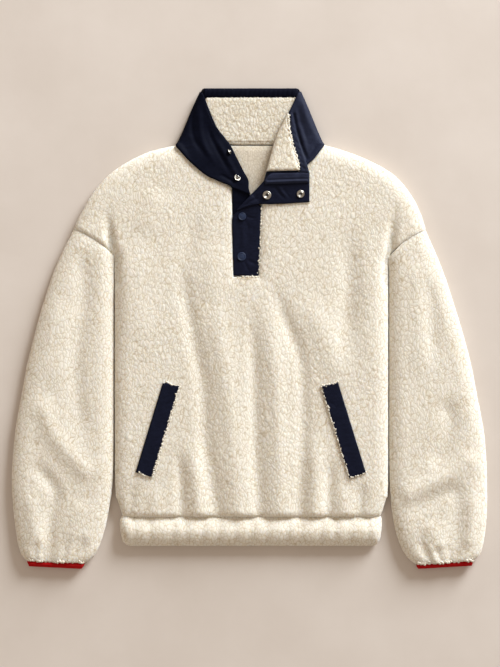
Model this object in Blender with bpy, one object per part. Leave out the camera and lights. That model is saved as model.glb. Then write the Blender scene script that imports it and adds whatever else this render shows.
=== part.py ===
"""A high pile fleece pullover laid flat with its front up, its neck towards +Y and its hem towards -Y."""

import math
from collections import namedtuple

import bpy
import numpy as np
from mathutils import Vector
from mathutils.bvhtree import BVHTree

NAME = "sherpa_pullover"
MM = 0.001

# All sizes below are in millimetres.
PILE = 8.4  # wall of the fleece, knit and pile together
BACK_TOP = 8.0  # upper side of the back panel
SEAM_GAP = 0.3
SEAM_STEP = 0.6  # gap in plan between pieces sewn edge to edge
LIFT = 4.0  # how far the front panel stands off the back panel where it is flat
EDGE_ROLL = 26.0  # how far in from a free edge the front reaches its full height
BACK_ROLL = 12.0
THIN_EDGE = 0.25  # share of the wall that is left at a free edge
SEAM_ROLL = 14.0  # the same distances for a seam and for the neck opening
NECK_ROLL = 24.0
SEAM_LIFT = 0.35  # shares of the lift and of the wall that are left at a seam
NECK_LIFT = 0.2
SEAM_WALL = 0.7
PRESSED_SHARE = 0.5  # share of a valley that also thins the pile
LEAST_WALL = 2.0
HEM_SEAM = -320.4
BUNCHED = 0.45  # how much closer points lie near the edges of a piece
SLOT_BOTTOM = 87.4  # lower end of the placket opening in the front panel
NECK_SEAM = 311.4
CLOTH = 2.4  # navy woven cloth with its facing

Edge = namedtuple("Edge", "y x")
Fold = namedtuple("Fold", "height width grow fade path")
SleeveRow = namedtuple("SleeveRow", "inner_x inner_y outer_x outer_y")
BandRow = namedtuple("BandRow", "y left right top bottom")
Leaf = namedtuple("Leaf", "ax ay bx by za zb drop")

LEFT_SIDE = [
    Edge(HEM_SEAM, -216.0),
    Edge(-314.0, -217.5),
    Edge(-302.0, -221.0),
    Edge(-290.0, -225.0),
    Edge(-267.0, -228.6),
    Edge(-100.0, -229.4),
    Edge(60.0, -229.4),
    Edge(118.0, -229.8),
]
LEFT_ARMHOLE = [
    Edge(118.0, -229.8),
    Edge(124.0, -233.0),
    Edge(132.0, -240.0),
    Edge(141.0, -250.0),
    Edge(154.0, -272.0),
    Edge(169.0, -299.5),
]
LEFT_SHOULDER = [
    Edge(169.0, -299.5),
    Edge(186.0, -292.0),
    Edge(202.0, -283.5),
    Edge(220.0, -273.5),
    Edge(236.0, -262.5),
    Edge(261.0, -240.0),
    Edge(282.0, -210.0),
    Edge(301.0, -170.0),
    Edge(NECK_SEAM, -126.0),
]
RIGHT_SIDE = [
    Edge(HEM_SEAM, 222.5),
    Edge(-314.0, 225.5),
    Edge(-302.0, 229.5),
    Edge(-290.0, 233.0),
    Edge(-267.0, 236.4),
    Edge(-100.0, 236.8),
    Edge(60.0, 236.8),
    Edge(112.0, 236.8),
]
RIGHT_ARMHOLE = [
    Edge(112.0, 236.8),
    Edge(124.0, 239.0),
    Edge(132.0, 246.0),
    Edge(141.0, 257.0),
    Edge(154.0, 278.0),
    Edge(167.0, 300.5),
]
RIGHT_SHOULDER = [
    Edge(167.0, 300.5),
    Edge(188.0, 294.5),
    Edge(204.0, 288.0),
    Edge(223.0, 278.0),
    Edge(251.0, 257.0),
    Edge(271.0, 232.0),
    Edge(292.0, 190.0),
    Edge(306.0, 150.0),
    Edge(NECK_SEAM, 130.0),
]
# The front is cut away between these two lines, for the placket and the neck.
NECK_LEFT = [
    Edge(SLOT_BOTTOM, -26.8),
    Edge(150.0, -28.4),
    Edge(232.0, -30.0),
    Edge(241.0, -33.0),
    Edge(250.0, -48.0),
    Edge(262.0, -71.0),
    Edge(286.0, -99.0),
    Edge(300.0, -111.0),
    Edge(NECK_SEAM, -120.0),
]
NECK_RIGHT = [
    Edge(SLOT_BOTTOM, 16.8),
    Edge(150.0, 19.2),
    Edge(208.0, 21.0),
    Edge(232.0, 24.0),
    Edge(241.0, 33.0),
    Edge(250.0, 48.0),
    Edge(262.0, 72.0),
    Edge(286.0, 101.0),
    Edge(300.0, 114.0),
    Edge(NECK_SEAM, 123.0),
]

# Folds of the front: a ridge where the height is positive, a trough where it is negative. A path runs from the top down.
FRONT_FOLDS = [
    Fold(-4.6, 13.0, 0.30, 0.0, [(-125, 150), (-97, -6), (-80, -95), (-74, -190), (-53, -322)]),
    Fold(4.8, 20.0, 0.35, 0.0, [(-74, 90), (-57, 28), (-36, -122), (-17, -322)]),
    Fold(-4.6, 12.0, 0.35, 0.0, [(1, 62), (8, -54), (11, -190), (18, -322)]),
    Fold(4.8, 17.0, 0.35, 0.0, [(26, 60), (45, -88), (52, -322)]),
    Fold(-4.2, 12.0, 0.25, 0.0, [(30, 98), (59, 21), (83, -40), (90, -88), (91, -190), (86, -322)]),
    Fold(3.6, 24.0, 0.35, 0.3, [(84, 70), (100, 41), (141, -54), (132, -110)]),
    Fold(4.6, 15.0, 0.45, 0.0, [(116, -170), (112, -240), (112, -322)]),
    Fold(-3.6, 17.0, 0.35, 0.35, [(163, 190), (162, 41), (157, -70)]),
    Fold(2.6, 22.0, 0.35, 0.35, [(206, 175), (206, 40), (200, -120)]),
    Fold(-4.8, 10.0, 0.45, 0.0, [(-119, -200), (-117, -250), (-114, -322)]),
    Fold(4.2, 13.0, 0.45, 0.0, [(-98, -180), (-92, -250), (-84, -322)]),
    Fold(-4.4, 10.0, 0.45, 0.0, [(138, -210), (137, -250), (134, -322)]),
    Fold(-3.4, 10.0, 0.5, 0.0, [(-197, -255), (-200, -285), (-204, -322)]),
    Fold(-3.4, 10.0, 0.5, 0.0, [(193, -255), (190, -285), (186, -322)]),
    Fold(2.6, 14.0, 0.5, 0.0, [(-156, -262), (-158, -290), (-160, -322)]),
    Fold(2.8, 12.0, 0.5, 0.0, [(163, -262), (162, -290), (161, -322)]),
    Fold(3.0, 30.0, 0.35, 0.4, [(-190, 175), (-196, 60), (-178, -70)]),
    Fold(2.4, 26.0, 0.3, 0.4, [(-150, 240), (-170, 190), (-190, 150)]),
    Fold(-2.6, 16.0, 0.4, 0.4, [(-86, 205), (-104, 140), (-118, 90)]),
    Fold(2.8, 22.0, 0.4, 0.4, [(-48, 150), (-66, 90), (-70, 40)]),
]
# Where the body folds over the sleeve, a crease runs up the dropped shoulder.
SHOULDER_CREASES = [
    Fold(-9.0, 8.0, 0.7, 0.0, [(-242, 216), (-238, 165), (-233, 122), (-231, 80)]),
    Fold(-8.0, 8.0, 0.7, 0.0, [(249, 220), (243, 170), (238, 122), (237, 80)]),
]
LEFT_SLEEVE_FOLDS = [
    Fold(-5.0, 16.0, 0.15, 0.2, [(-285, 145), (-281, 48), (-294, -54), (-288, -156), (-271, -205)]),
    Fold(3.4, 22.0, 0.3, 0.3, [(-315, 60), (-336, -50), (-352, -108)]),
    Fold(5.6, 17.0, 0.2, 0.15, [(-356, -108), (-335, -176), (-295, -224), (-262, -260)]),
    Fold(-5.6, 12.0, 0.25, 0.0, [(-376, -220), (-342, -258), (-329, -285), (-337, -319), (-341, -395)]),
    Fold(3.6, 20.0, 0.3, 0.3, [(-286, -285), (-290, -326), (-300, -372)]),
    Fold(3.6, 13.0, 0.3, 0.2, [(-374, -268), (-366, -330), (-358, -380)]),
    Fold(-3.6, 8.0, 0.4, 0.0, [(-280, -350), (-284, -374), (-302, -398)]),
    Fold(-2.8, 7.0, 0.4, 0.0, [(-362, -350), (-364, -374), (-362, -398)]),
]
RIGHT_SLEEVE_FOLDS = [
    Fold(3.0, 18.0, 0.2, 0.3, [(282, 128), (290, -20), (292, -110)]),
    Fold(-3.2, 14.0, 0.3, 0.3, [(303, 95), (308, 28), (316, -70)]),
    Fold(-5.0, 15.0, 0.25, 0.2, [(326, -112), (342, -158), (330, -204), (300, -232)]),
    Fold(5.6, 14.0, 0.15, 0.15, [(252, -290), (300, -268), (345, -247), (388, -208)]),
    Fold(-5.0, 12.0, 0.2, 0.0, [(258, -322), (317, -287), (350, -280), (352, -330), (350, -395)]),
    Fold(4.0, 16.0, 0.3, 0.2, [(300, -322), (312, -346), (322, -380)]),
    Fold(3.2, 12.0, 0.3, 0.2, [(382, -270), (378, -330), (370, -380)]),
    Fold(-3.2, 8.0, 0.4, 0.0, [(290, -352), (296, -376), (308, -400)]),
]

LEFT_SLEEVE = [
    SleeveRow(-230.4, 117.4, -300.4, 166.6),
    SleeveRow(-230.2, 106.0, -306.0, 155.0),
    SleeveRow(-230.2, 84.0, -317.5, 133.0),
    SleeveRow(-230.2, 48.0, -335.0, 92.0),
    SleeveRow(-230.2, 4.0, -351.5, 42.0),
    SleeveRow(-230.2, -44.0, -366.5, -12.0),
    SleeveRow(-230.2, -92.0, -379.5, -66.0),
    SleeveRow(-230.4, -140.0, -389.5, -120.0),
    SleeveRow(-230.6, -188.0, -398.5, -172.0),
    SleeveRow(-231.0, -234.0, -403.5, -224.0),
    SleeveRow(-233.0, -268.0, -405.0, -264.0),
    SleeveRow(-238.0, -303.0, -402.5, -303.0),
    SleeveRow(-243.0, -330.0, -399.5, -332.0),
    SleeveRow(-250.0, -356.0, -396.0, -358.0),
    SleeveRow(-259.0, -379.0, -391.5, -377.0),
    SleeveRow(-268.0, -391.0, -386.5, -387.5),
    SleeveRow(-279.5, -399.2, -379.5, -395.4),
]
RIGHT_SLEEVE = [
    SleeveRow(237.4, 111.4, 301.2, 166.2),
    SleeveRow(237.6, 102.0, 307.5, 151.0),
    SleeveRow(237.6, 80.0, 318.5, 126.0),
    SleeveRow(237.6, 46.0, 333.5, 88.0),
    SleeveRow(237.6, 4.0, 348.5, 42.0),
    SleeveRow(237.6, -44.0, 365.0, -12.0),
    SleeveRow(237.6, -92.0, 379.0, -66.0),
    SleeveRow(237.6, -140.0, 389.5, -122.0),
    SleeveRow(237.6, -188.0, 399.5, -174.0),
    SleeveRow(238.0, -234.0, 404.0, -226.0),
    SleeveRow(239.2, -268.0, 405.0, -266.0),
    SleeveRow(242.0, -303.0, 405.0, -304.0),
    SleeveRow(246.0, -331.0, 403.5, -334.0),
    SleeveRow(253.0, -358.0, 400.0, -360.0),
    SleeveRow(262.5, -380.0, 395.5, -379.0),
    SleeveRow(272.0, -393.0, 389.5, -389.0),
    SleeveRow(284.0, -401.6, 381.5, -395.4),
]
LEFT_CUFF = [
    SleeveRow(-280.6, -399.8, -378.6, -396.0),
    SleeveRow(-281.2, -402.8, -378.2, -398.6),
    SleeveRow(-283.0, -406.0, -377.0, -401.4),
    SleeveRow(-285.4, -408.4, -375.4, -403.8),
]
RIGHT_CUFF = [
    SleeveRow(284.6, -402.2, 380.8, -396.0),
    SleeveRow(284.6, -404.2, 380.6, -398.2),
    SleeveRow(285.6, -406.6, 380.2, -400.4),
    SleeveRow(287.6, -408.4, 379.4, -402.2),
]
SLEEVE_TOP = 20.0
SLEEVE_ROLL = 30.0
SLEEVE_MIDDLE = 8.2  # height of the fold at both sides of a flattened sleeve
SIDE_WALL = 10.0
HOLLOW_MOST = 3.2  # the sleeve's two layers lie on each other but for this much
HOLLOW_LEAST = 0.4
SLEEVE_SECTIONS = 24
SLEEVE_COLUMNS = 15
SLEEVE_LEAST = 3.0  # what the deepest fold leaves above the sleeve's middle
SLEEVE_SEAM = 0.62  # shares of the sleeve's height that are left at the armhole and at the cuff
SLEEVE_END = 0.6
BOWED_SECTIONS = 4.0
CUFF_TOPS = [13.0, 14.4, 13.4, 10.4]
CUFF_BOTTOMS = [1.6, 1.2, 2.0, 4.6]
CUFF_ROLL = 7.0
CUFF_SIDE = 4.0
CUFF_WALL = 1.6
CUFF_HOLLOW = 1.4
CUFF_COLUMNS = 11
HEM_ROLL = 20.0
HEM_HOLLOW = 1.6
HEM_COLUMNS = 37
HEM_MIDDLE = -345.0
HEM_HALF = 25.0
PUCKER_MIDDLE = 0.35  # share of a pucker's depth in the middle of the hem band
SEAM_BOW = 5.0  # how far the armhole seam bows up from its chord

HEM_BAND = [
    BandRow(HEM_SEAM - SEAM_STEP, -217.0, 223.5, 13.6, 1.8),
    BandRow(-324.5, -220.5, 226.0, 16.6, 0.0),
    BandRow(-332.0, -221.0, 226.2, 19.8, 0.0),
    BandRow(-344.0, -219.8, 225.4, 20.4, 0.0),
    BandRow(-356.0, -217.6, 223.4, 19.0, 0.0),
    BandRow(-364.0, -214.5, 220.4, 16.2, 0.6),
    BandRow(-370.0, -207.5, 214.0, 11.6, 4.2),
]
PUCKERS = [-196, -168, -131, -108, -79, -52, -24, 3, 31, 64, 88, 121, 146, 171, 203]
PUCKER_DEPTH = 2.6
PUCKER_WIDTH = 7.0

# Collar and placket pieces are ruled between two edges, a and b, with the heights of their undersides at both. The drop is how far edge a rolls down.
COLLAR_BACK = [
    Leaf(-123.0, 312.2, 125.5, 312.2, 0.0, 0.0, 0.0),
    Leaf(-118.0, 325.0, 121.0, 325.0, 0.0, 0.0, 0.0),
    Leaf(-101.0, 364.0, 105.5, 364.0, 0.0, 0.0, 0.0),
    Leaf(-88.0, 394.0, 92.5, 394.0, 0.0, 0.0, 0.0),
    Leaf(-83.5, 402.5, 88.0, 402.5, 0.0, 0.0, 0.0),
    Leaf(-79.5, 407.6, 83.5, 407.6, 0.0, 0.0, 0.0),
]
COLLAR_LINING = [
    Leaf(-106.0, 313.0, 108.5, 313.0, 2.7, 2.7, 0.0),
    Leaf(-90.0, 352.0, 94.0, 352.0, 2.7, 2.7, 0.0),
    Leaf(-73.5, 393.6, 78.0, 393.6, 2.7, 2.7, 0.0),
]
COLLAR_FACING = [
    Leaf(-80.0, 394.2, 84.5, 394.2, 2.7, 2.7, 0.0),
    Leaf(-80.0, 402.0, 84.5, 402.0, 2.7, 2.7, 0.0),
    Leaf(-77.0, 407.8, 81.0, 407.8, 2.7, 2.7, 0.0),
]
LEAF_LEFT = [
    Leaf(-84.5, 403.5, -79.0, 400.0, 10.2, 10.2, 7.2),
    Leaf(-97.5, 375.0, -68.0, 372.0, 10.2, 10.2, 7.2),
    Leaf(-112.0, 340.0, -57.0, 346.0, 10.8, 10.2, 7.6),
    Leaf(-125.0, 312.5, -45.0, 328.0, 15.0, 10.4, 6.0),
    Leaf(-104.0, 286.0, -34.0, 311.0, 19.6, 13.0, 0.0),
    Leaf(-76.0, 261.5, -23.5, 292.0, 20.2, 14.0, 0.0),
    Leaf(-51.0, 249.5, -12.0, 268.0, 20.2, 14.5, 0.0),
    Leaf(-31.5, 241.2, 0.8, 229.4, 19.6, 15.5, 0.0),
]
LEAF_RIGHT = [
    Leaf(88.5, 404.0, 83.0, 400.5, 10.2, 10.2, 7.2),
    Leaf(101.5, 374.0, 67.0, 368.0, 10.2, 10.2, 7.2),
    Leaf(115.0, 341.0, 52.0, 339.0, 10.8, 10.2, 7.6),
    Leaf(127.5, 312.0, 42.0, 311.0, 15.0, 10.2, 6.0),
    Leaf(106.0, 284.0, 35.0, 287.0, 19.0, 11.0, 0.0),
    Leaf(74.0, 261.0, 29.0, 266.0, 19.8, 13.5, 0.0),
    Leaf(42.0, 245.5, 23.0, 247.0, 20.2, 17.0, 0.0),
]
LAPEL = [
    Leaf(65.4, 366.0, 67.6, 364.0, 13.8, 13.8, 0.0),
    Leaf(57.0, 349.0, 67.6, 346.0, 13.8, 13.8, 0.0),
    Leaf(48.0, 331.0, 69.8, 330.0, 13.8, 14.0, 0.0),
    Leaf(40.0, 308.0, 75.0, 308.0, 14.2, 16.0, 0.0),
    Leaf(33.0, 282.0, 81.8, 283.0, 15.5, 20.0, 0.0),
    Leaf(28.6, 266.6, 84.6, 267.6, 18.0, 23.0, 0.0),
]
LAPEL_FACING = [
    Leaf(68.5, 365.0, 73.0, 368.0, 14.0, 14.0, 0.0),
    Leaf(68.5, 346.4, 77.0, 347.5, 14.0, 14.0, 0.0),
    Leaf(70.7, 330.4, 80.5, 331.0, 14.6, 14.6, 0.0),
    Leaf(75.9, 308.4, 87.5, 309.5, 17.0, 17.4, 0.0),
    Leaf(82.7, 283.4, 96.0, 284.0, 21.0, 22.4, 0.0),
    Leaf(85.5, 268.2, 101.8, 266.8, 23.6, 23.4, 0.0),
]
FLAP = [
    Leaf(3.4, 228.2, 5.4, 223.0, 20.2, 20.2, 0.0),
    Leaf(14.0, 239.0, 14.5, 214.8, 22.0, 21.0, 0.0),
    Leaf(24.5, 251.0, 25.0, 210.2, 23.0, 21.2, 0.0),
    Leaf(36.0, 262.6, 38.0, 210.0, 23.4, 21.2, 0.0),
    Leaf(60.0, 264.0, 60.0, 211.4, 23.4, 21.0, 0.0),
    Leaf(86.0, 265.2, 84.0, 213.4, 23.2, 20.8, 0.0),
    Leaf(102.0, 264.6, 102.0, 215.4, 23.0, 20.8, 0.0),
]
FLAP_BAND = [
    Leaf(26.2, 250.6, 27.0, 243.8, 0.0, 0.0, 0.0),
    Leaf(36.8, 261.4, 38.0, 244.6, 0.0, 0.0, 0.0),
    Leaf(60.0, 262.8, 60.0, 245.2, 0.0, 0.0, 0.0),
    Leaf(86.0, 264.0, 86.0, 246.2, 0.0, 0.0, 0.0),
    Leaf(101.0, 263.4, 101.0, 246.8, 0.0, 0.0, 0.0),
]
UNDERLAP = [
    Leaf(-25.2, 92.6, 12.0, 90.6, 9.2, 9.2, 0.0),
    Leaf(-27.0, 150.0, 9.0, 150.0, 10.0, 9.6, 0.0),
    Leaf(-28.2, 198.0, 6.0, 198.0, 14.4, 10.4, 0.0),
    Leaf(-28.8, 222.0, 3.0, 214.0, 16.6, 11.4, 0.0),
    Leaf(-29.4, 239.8, 0.6, 228.6, 17.6, 15.0, 0.0),
]
OVERLAP = [
    Leaf(-26.0, 91.6, 16.0, 88.6, 14.6, 14.6, 0.0),
    Leaf(-26.6, 112.0, 17.0, 110.0, 15.4, 15.4, 0.0),
    Leaf(-27.3, 150.0, 18.4, 150.0, 15.6, 15.6, 0.0),
    Leaf(-28.0, 180.0, 19.4, 180.0, 16.6, 16.6, 0.0),
    Leaf(-26.4, 191.0, 20.0, 196.0, 17.4, 17.0, 0.0),
    Leaf(-20.0, 199.4, 20.2, 206.8, 18.2, 17.6, 0.0),
    Leaf(-8.5, 213.6, 12.0, 213.6, 18.8, 18.2, 0.0),
    Leaf(1.2, 224.6, 4.0, 222.0, 19.6, 18.6, 0.0),
]
WELT_LEFT = [
    Leaf(-146.5, -91.5, -118.5, -98.0, 0.0, 0.0, 0.0),
    Leaf(-193.0, -244.0, -164.5, -253.0, 0.0, 0.0, 0.0),
]
WELT_RIGHT = [
    Leaf(121.5, -98.0, 150.5, -91.5, 0.0, 0.0, 0.0),
    Leaf(170.0, -254.0, 198.0, -245.0, 0.0, 0.0, 0.0),
]

# Turned pieces: the profile columns are radius and height.
CAP_PROFILE = [(0.0, 0.0), (7.0, 0.0), (7.3, 0.6), (7.1, 1.5), (6.2, 2.1), (5.6, 2.1), (5.0, 1.6), (0.0, 1.5)]
SOCKET_PROFILE = [(0.0, 0.0), (7.0, 0.0), (7.3, 0.5), (7.0, 1.3), (6.0, 1.8), (4.6, 1.9), (3.3, 1.5), (2.9, 0.7), (0.0, 0.6)]
STUD_PROFILE = [(0.0, 0.0), (5.4, 0.0), (5.7, 0.4), (5.2, 0.9), (2.6, 1.1), (2.3, 1.8), (2.7, 2.6), (2.0, 3.2), (0.0, 3.3)]
TURNED_SEGMENTS = 20

CREAM = (0.83, 0.77, 0.64)
CREAM_INNER = (0.80, 0.73, 0.60)
NAVY = (0.010, 0.014, 0.042)
NAVY_SNAP = (0.012, 0.018, 0.050)
RED = (0.48, 0.008, 0.010)
SILVER = (0.62, 0.60, 0.56)


def clear_scene():
    for thing in list(bpy.data.objects):
        bpy.data.objects.remove(thing, do_unlink=True)


def make_material(name, colour, roughness, metallic=0.0):
    material = bpy.data.materials.new(name)
    material.use_nodes = True
    shader = material.node_tree.nodes["Principled BSDF"]
    shader.inputs["Base Color"].default_value = (*colour, 1.0)
    shader.inputs["Roughness"].default_value = roughness
    shader.inputs["Metallic"].default_value = metallic
    return material


def add_object(name, points, faces, material, smooth=True):
    mesh = bpy.data.meshes.new(name)
    mesh.from_pydata([tuple(float(c) * MM for c in p) for p in points], [], faces)
    mesh.polygons.foreach_set("use_smooth", [smooth] * len(mesh.polygons))
    mesh.update()
    thing = bpy.data.objects.new(name, mesh)
    thing.data.materials.append(material)
    bpy.data.collections[NAME].objects.link(thing)
    return thing


def rounding(distance, radius):
    """0 at the edge and 1 from the radius inwards, along a quarter circle."""
    share = np.clip(distance / radius, 0.0, 1.0)
    return np.sqrt(1.0 - (1.0 - share) ** 2)


def ease(share):
    share = np.clip(share, 0.0, 1.0)
    return share * share * (3.0 - 2.0 * share)


def path_distance(x, y, path):
    """The distance to a path in plan, and how far along the path the nearest point is, from 0 to 1."""
    points = np.array(path, float)
    steps = np.diff(points, axis=0)
    lengths = np.hypot(steps[:, 0], steps[:, 1])
    best = np.full(np.shape(x), 1e9)
    share = np.zeros(np.shape(x))
    walked = 0.0
    for start, step, length in zip(points[:-1], steps, lengths):
        along = ((x - start[0]) * step[0] + (y - start[1]) * step[1]) / length**2
        along = np.clip(along, 0.0, 1.0)
        away = np.hypot(x - start[0] - along * step[0], y - start[1] - along * step[1])
        nearer = away < best
        best = np.where(nearer, away, best)
        share = np.where(nearer, (walked + along * length) / lengths.sum(), share)
        walked += length
    return best, share


def fold_height(x, y, folds):
    total = np.zeros(np.shape(x))
    for fold in folds:
        away, share = path_distance(x, y, fold.path)
        weight = ease(share / fold.grow)
        if fold.fade > 0.0:
            weight = weight * ease((1.0 - share) / fold.fade)
        total = total + fold.height * weight * np.exp(-((away / fold.width) ** 2))
    return total


def as_path(*edges):
    return [(edge.x, edge.y) for table in edges for edge in table]


def edge_at(y, *tables):
    rows = [edge for table in tables for edge in table]
    return np.interp(y, [edge.y for edge in rows], [edge.x for edge in rows])


def free_distance(x, y):
    """The distance to the garment's free edges: its sides and its shoulders."""
    best = np.full(np.shape(x), 1e9)
    for table in (LEFT_SIDE, LEFT_SHOULDER, RIGHT_SIDE, RIGHT_SHOULDER):
        best = np.minimum(best, path_distance(x, y, as_path(table))[0])
    return best


def seam_distance(x, y):
    hem = [(LEFT_SIDE[0].x, HEM_SEAM), (RIGHT_SIDE[0].x, HEM_SEAM)]
    best = path_distance(x, y, hem)[0]
    for table in (LEFT_ARMHOLE, RIGHT_ARMHOLE):
        best = np.minimum(best, path_distance(x, y, as_path(table))[0])
    return best


def front_heights(x, y):
    """The lower and the upper side of the front panel."""
    free = rounding(free_distance(x, y), EDGE_ROLL)
    seam = rounding(seam_distance(x, y), SEAM_ROLL)
    neck = np.minimum(path_distance(x, y, as_path(NECK_LEFT))[0], path_distance(x, y, as_path(NECK_RIGHT))[0])
    open_side = rounding(neck, NECK_ROLL)
    held = (SEAM_LIFT + (1.0 - SEAM_LIFT) * seam) * (NECK_LIFT + (1.0 - NECK_LIFT) * open_side)
    lift = (LIFT + fold_height(x, y, FRONT_FOLDS)) * free * held
    low = BACK_TOP + SEAM_GAP + np.maximum(lift, 0.0)
    wall = PILE * (THIN_EDGE + (1.0 - THIN_EDGE) * free) * (SEAM_WALL + (1.0 - SEAM_WALL) * seam)
    pressed = fold_height(x, y, SHOULDER_CREASES) + PRESSED_SHARE * np.minimum(lift, 0.0)
    return low, np.maximum(low + LEAST_WALL, low + wall + pressed)


def sheet(name, x, y, low, high, material, keep=None):
    """A closed solid from a grid of points in plan with two heights at each. The keep grid leaves cells out."""
    rows, columns = x.shape
    if keep is None:
        keep = np.ones((rows - 1, columns - 1), bool)
    count = rows * columns
    points = [*zip(x.ravel(), y.ravel(), high.ravel()), *zip(x.ravel(), y.ravel(), low.ravel())]
    faces = []
    borders = {}
    for i in range(rows - 1):
        for j in range(columns - 1):
            if not keep[i, j]:
                continue
            a = i * columns + j
            ring = [a, a + 1, a + columns + 1, a + columns]
            faces.append(ring)
            faces.append([corner + count for corner in reversed(ring)])
            for start, end in zip(ring, ring[1:] + ring[:1]):
                if (end, start) in borders:
                    del borders[(end, start)]
                else:
                    borders[(start, end)] = True
    for start, end in borders:
        faces.append([end, start, start + count, end + count])
    used = sorted({corner for face in faces for corner in face})
    place = {corner: number for number, corner in enumerate(used)}
    faces = [[place[corner] for corner in face] for face in faces]
    points = [points[corner] for corner in used]
    if signed_volume(points, faces) < 0.0:
        faces = [face[::-1] for face in faces]
    return add_object(name, points, faces, material)


def signed_volume(points, faces):
    places = np.array(points, float)
    total = 0.0
    for face in faces:
        for k in range(1, len(face) - 1):
            total += float(np.dot(places[face[0]], np.cross(places[face[k]], places[face[k + 1]])))
    return total / 6.0


def tube(name, outer, inner, material):
    """A closed solid between two rows of rings, open at both ends as cloth is."""
    rows, columns = outer.shape[:2]
    count = rows * columns
    points = [*outer.reshape(-1, 3), *inner.reshape(-1, 3)]
    faces = []
    for j in range(columns):
        after = (j + 1) % columns
        for i in range(rows - 1):
            a, b = i * columns + j, i * columns + after
            faces.append([a, b, b + columns, a + columns])
            faces.append([count + a + columns, count + b + columns, count + b, count + a])
        last = (rows - 1) * columns
        faces.append([j, count + j, count + after, after])
        faces.append([last + after, count + last + after, count + last + j, last + j])
    if signed_volume(points, faces) < 0.0:
        faces = [face[::-1] for face in faces]
    return add_object(name, points, faces, material)


def spread(count):
    """Places from 0 to 1 that lie closer together near both ends."""
    turn = np.linspace(0.0, 1.0, count)
    return (1.0 - BUNCHED) * turn + BUNCHED * (0.5 - 0.5 * np.cos(math.pi * turn))


def resample(rows, count):
    """More rows by a smooth curve through the rows of a table."""
    table = np.array(rows, float)
    last = len(table) - 1
    result = []
    for place in np.linspace(0.0, last, count):
        k = min(int(place), last - 1)
        t = place - k
        before = table[max(k - 1, 0)]
        after = table[min(k + 2, last)]
        here, there = table[k], table[k + 1]
        result.append(
            0.5
            * (
                2.0 * here
                + (there - before) * t
                + (2.0 * before - 5.0 * here + 4.0 * there - after) * t**2
                + (3.0 * here - before - 3.0 * there + after) * t**3
            )
        )
    return np.array(result)


def section_ring(row, columns, sizes, bow, heights):
    """One closed section of a flattened tube, along its upper side to the outer fold and back below."""
    start = np.array([row[0], row[1]])
    end = np.array([row[2], row[3]])
    width = float(np.hypot(*(end - start)))
    places = spread(columns)
    plan = start[None, :] + (end - start)[None, :] * places[:, None]
    plan[:, 1] += bow * 4.0 * places * (1.0 - places)
    away = np.minimum(places, 1.0 - places) * width
    high, low = heights(plan[:, 0], plan[:, 1], away, sizes)
    upper = np.column_stack([plan, high])
    under = np.column_stack([plan, low])[::-1][1:-1]
    return np.vstack([upper, under]), width, high


def hollow_ring(row, columns, bow, high_line, width, side_wall, wall, most):
    """The hollow inside a section, with the same number of points."""
    start = np.array([row[0], row[1]])
    end = np.array([row[2], row[3]])
    inset = side_wall / width
    places = inset + (1.0 - 2.0 * inset) * spread(columns)
    plan = start[None, :] + (end - start)[None, :] * places[:, None]
    plan[:, 1] += bow * 4.0 * places * (1.0 - places)
    high = np.interp(places, spread(columns), high_line) - wall
    ceiling = np.clip(high, SLEEVE_MIDDLE + HOLLOW_LEAST, SLEEVE_MIDDLE + most)
    floor = np.full(columns, SLEEVE_MIDDLE - 0.5 * HOLLOW_LEAST)
    ceiling[0] = ceiling[-1] = SLEEVE_MIDDLE
    upper = np.column_stack([plan, ceiling])
    under = np.column_stack([plan, floor])[::-1][1:-1]
    return np.vstack([upper, under])


def sleeve(name, rows, folds, material):
    table = resample(rows, SLEEVE_SECTIONS)

    def heights(x, y, away, full):
        folded = full - SLEEVE_MIDDLE + fold_height(x, y, folds)
        high = SLEEVE_MIDDLE + np.maximum(folded, SLEEVE_LEAST) * rounding(away, SLEEVE_ROLL)
        low = SLEEVE_MIDDLE * (1.0 - rounding(away, BACK_ROLL))
        return high, low

    outer = []
    inner = []
    for number, row in enumerate(table):
        bow = SEAM_BOW * ease(1.0 - number / BOWED_SECTIONS)
        seam = rounding(min(number, 2) + 0.25, 2.0)
        gathered = rounding(SLEEVE_SECTIONS - 1 - number + 0.5, 2.5)
        share = (SLEEVE_SEAM + (1.0 - SLEEVE_SEAM) * seam) * (SLEEVE_END + (1.0 - SLEEVE_END) * gathered)
        full = SLEEVE_MIDDLE + (SLEEVE_TOP - SLEEVE_MIDDLE) * share
        ring, width, high = section_ring(row, SLEEVE_COLUMNS, full, bow, heights)
        outer.append(ring)
        inner.append(hollow_ring(row, SLEEVE_COLUMNS, bow, high, width, SIDE_WALL, PILE, HOLLOW_MOST))
    return tube(name, np.array(outer), np.array(inner), material)


def cuff(name, rows, material):
    def heights(x, y, away, full):
        return (
            SLEEVE_MIDDLE + (full[0] - SLEEVE_MIDDLE) * rounding(away, CUFF_ROLL),
            SLEEVE_MIDDLE - (SLEEVE_MIDDLE - full[1]) * rounding(away, CUFF_ROLL),
        )

    outer = []
    inner = []
    for row, top, bottom in zip(rows, CUFF_TOPS, CUFF_BOTTOMS):
        ring, width, high = section_ring(row, CUFF_COLUMNS, (top, bottom), 0.0, heights)
        outer.append(ring)
        inner.append(hollow_ring(row, CUFF_COLUMNS, 0.0, high, width, CUFF_SIDE, CUFF_WALL, CUFF_HOLLOW))
    return tube(name, np.array(outer), np.array(inner), material)


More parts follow.
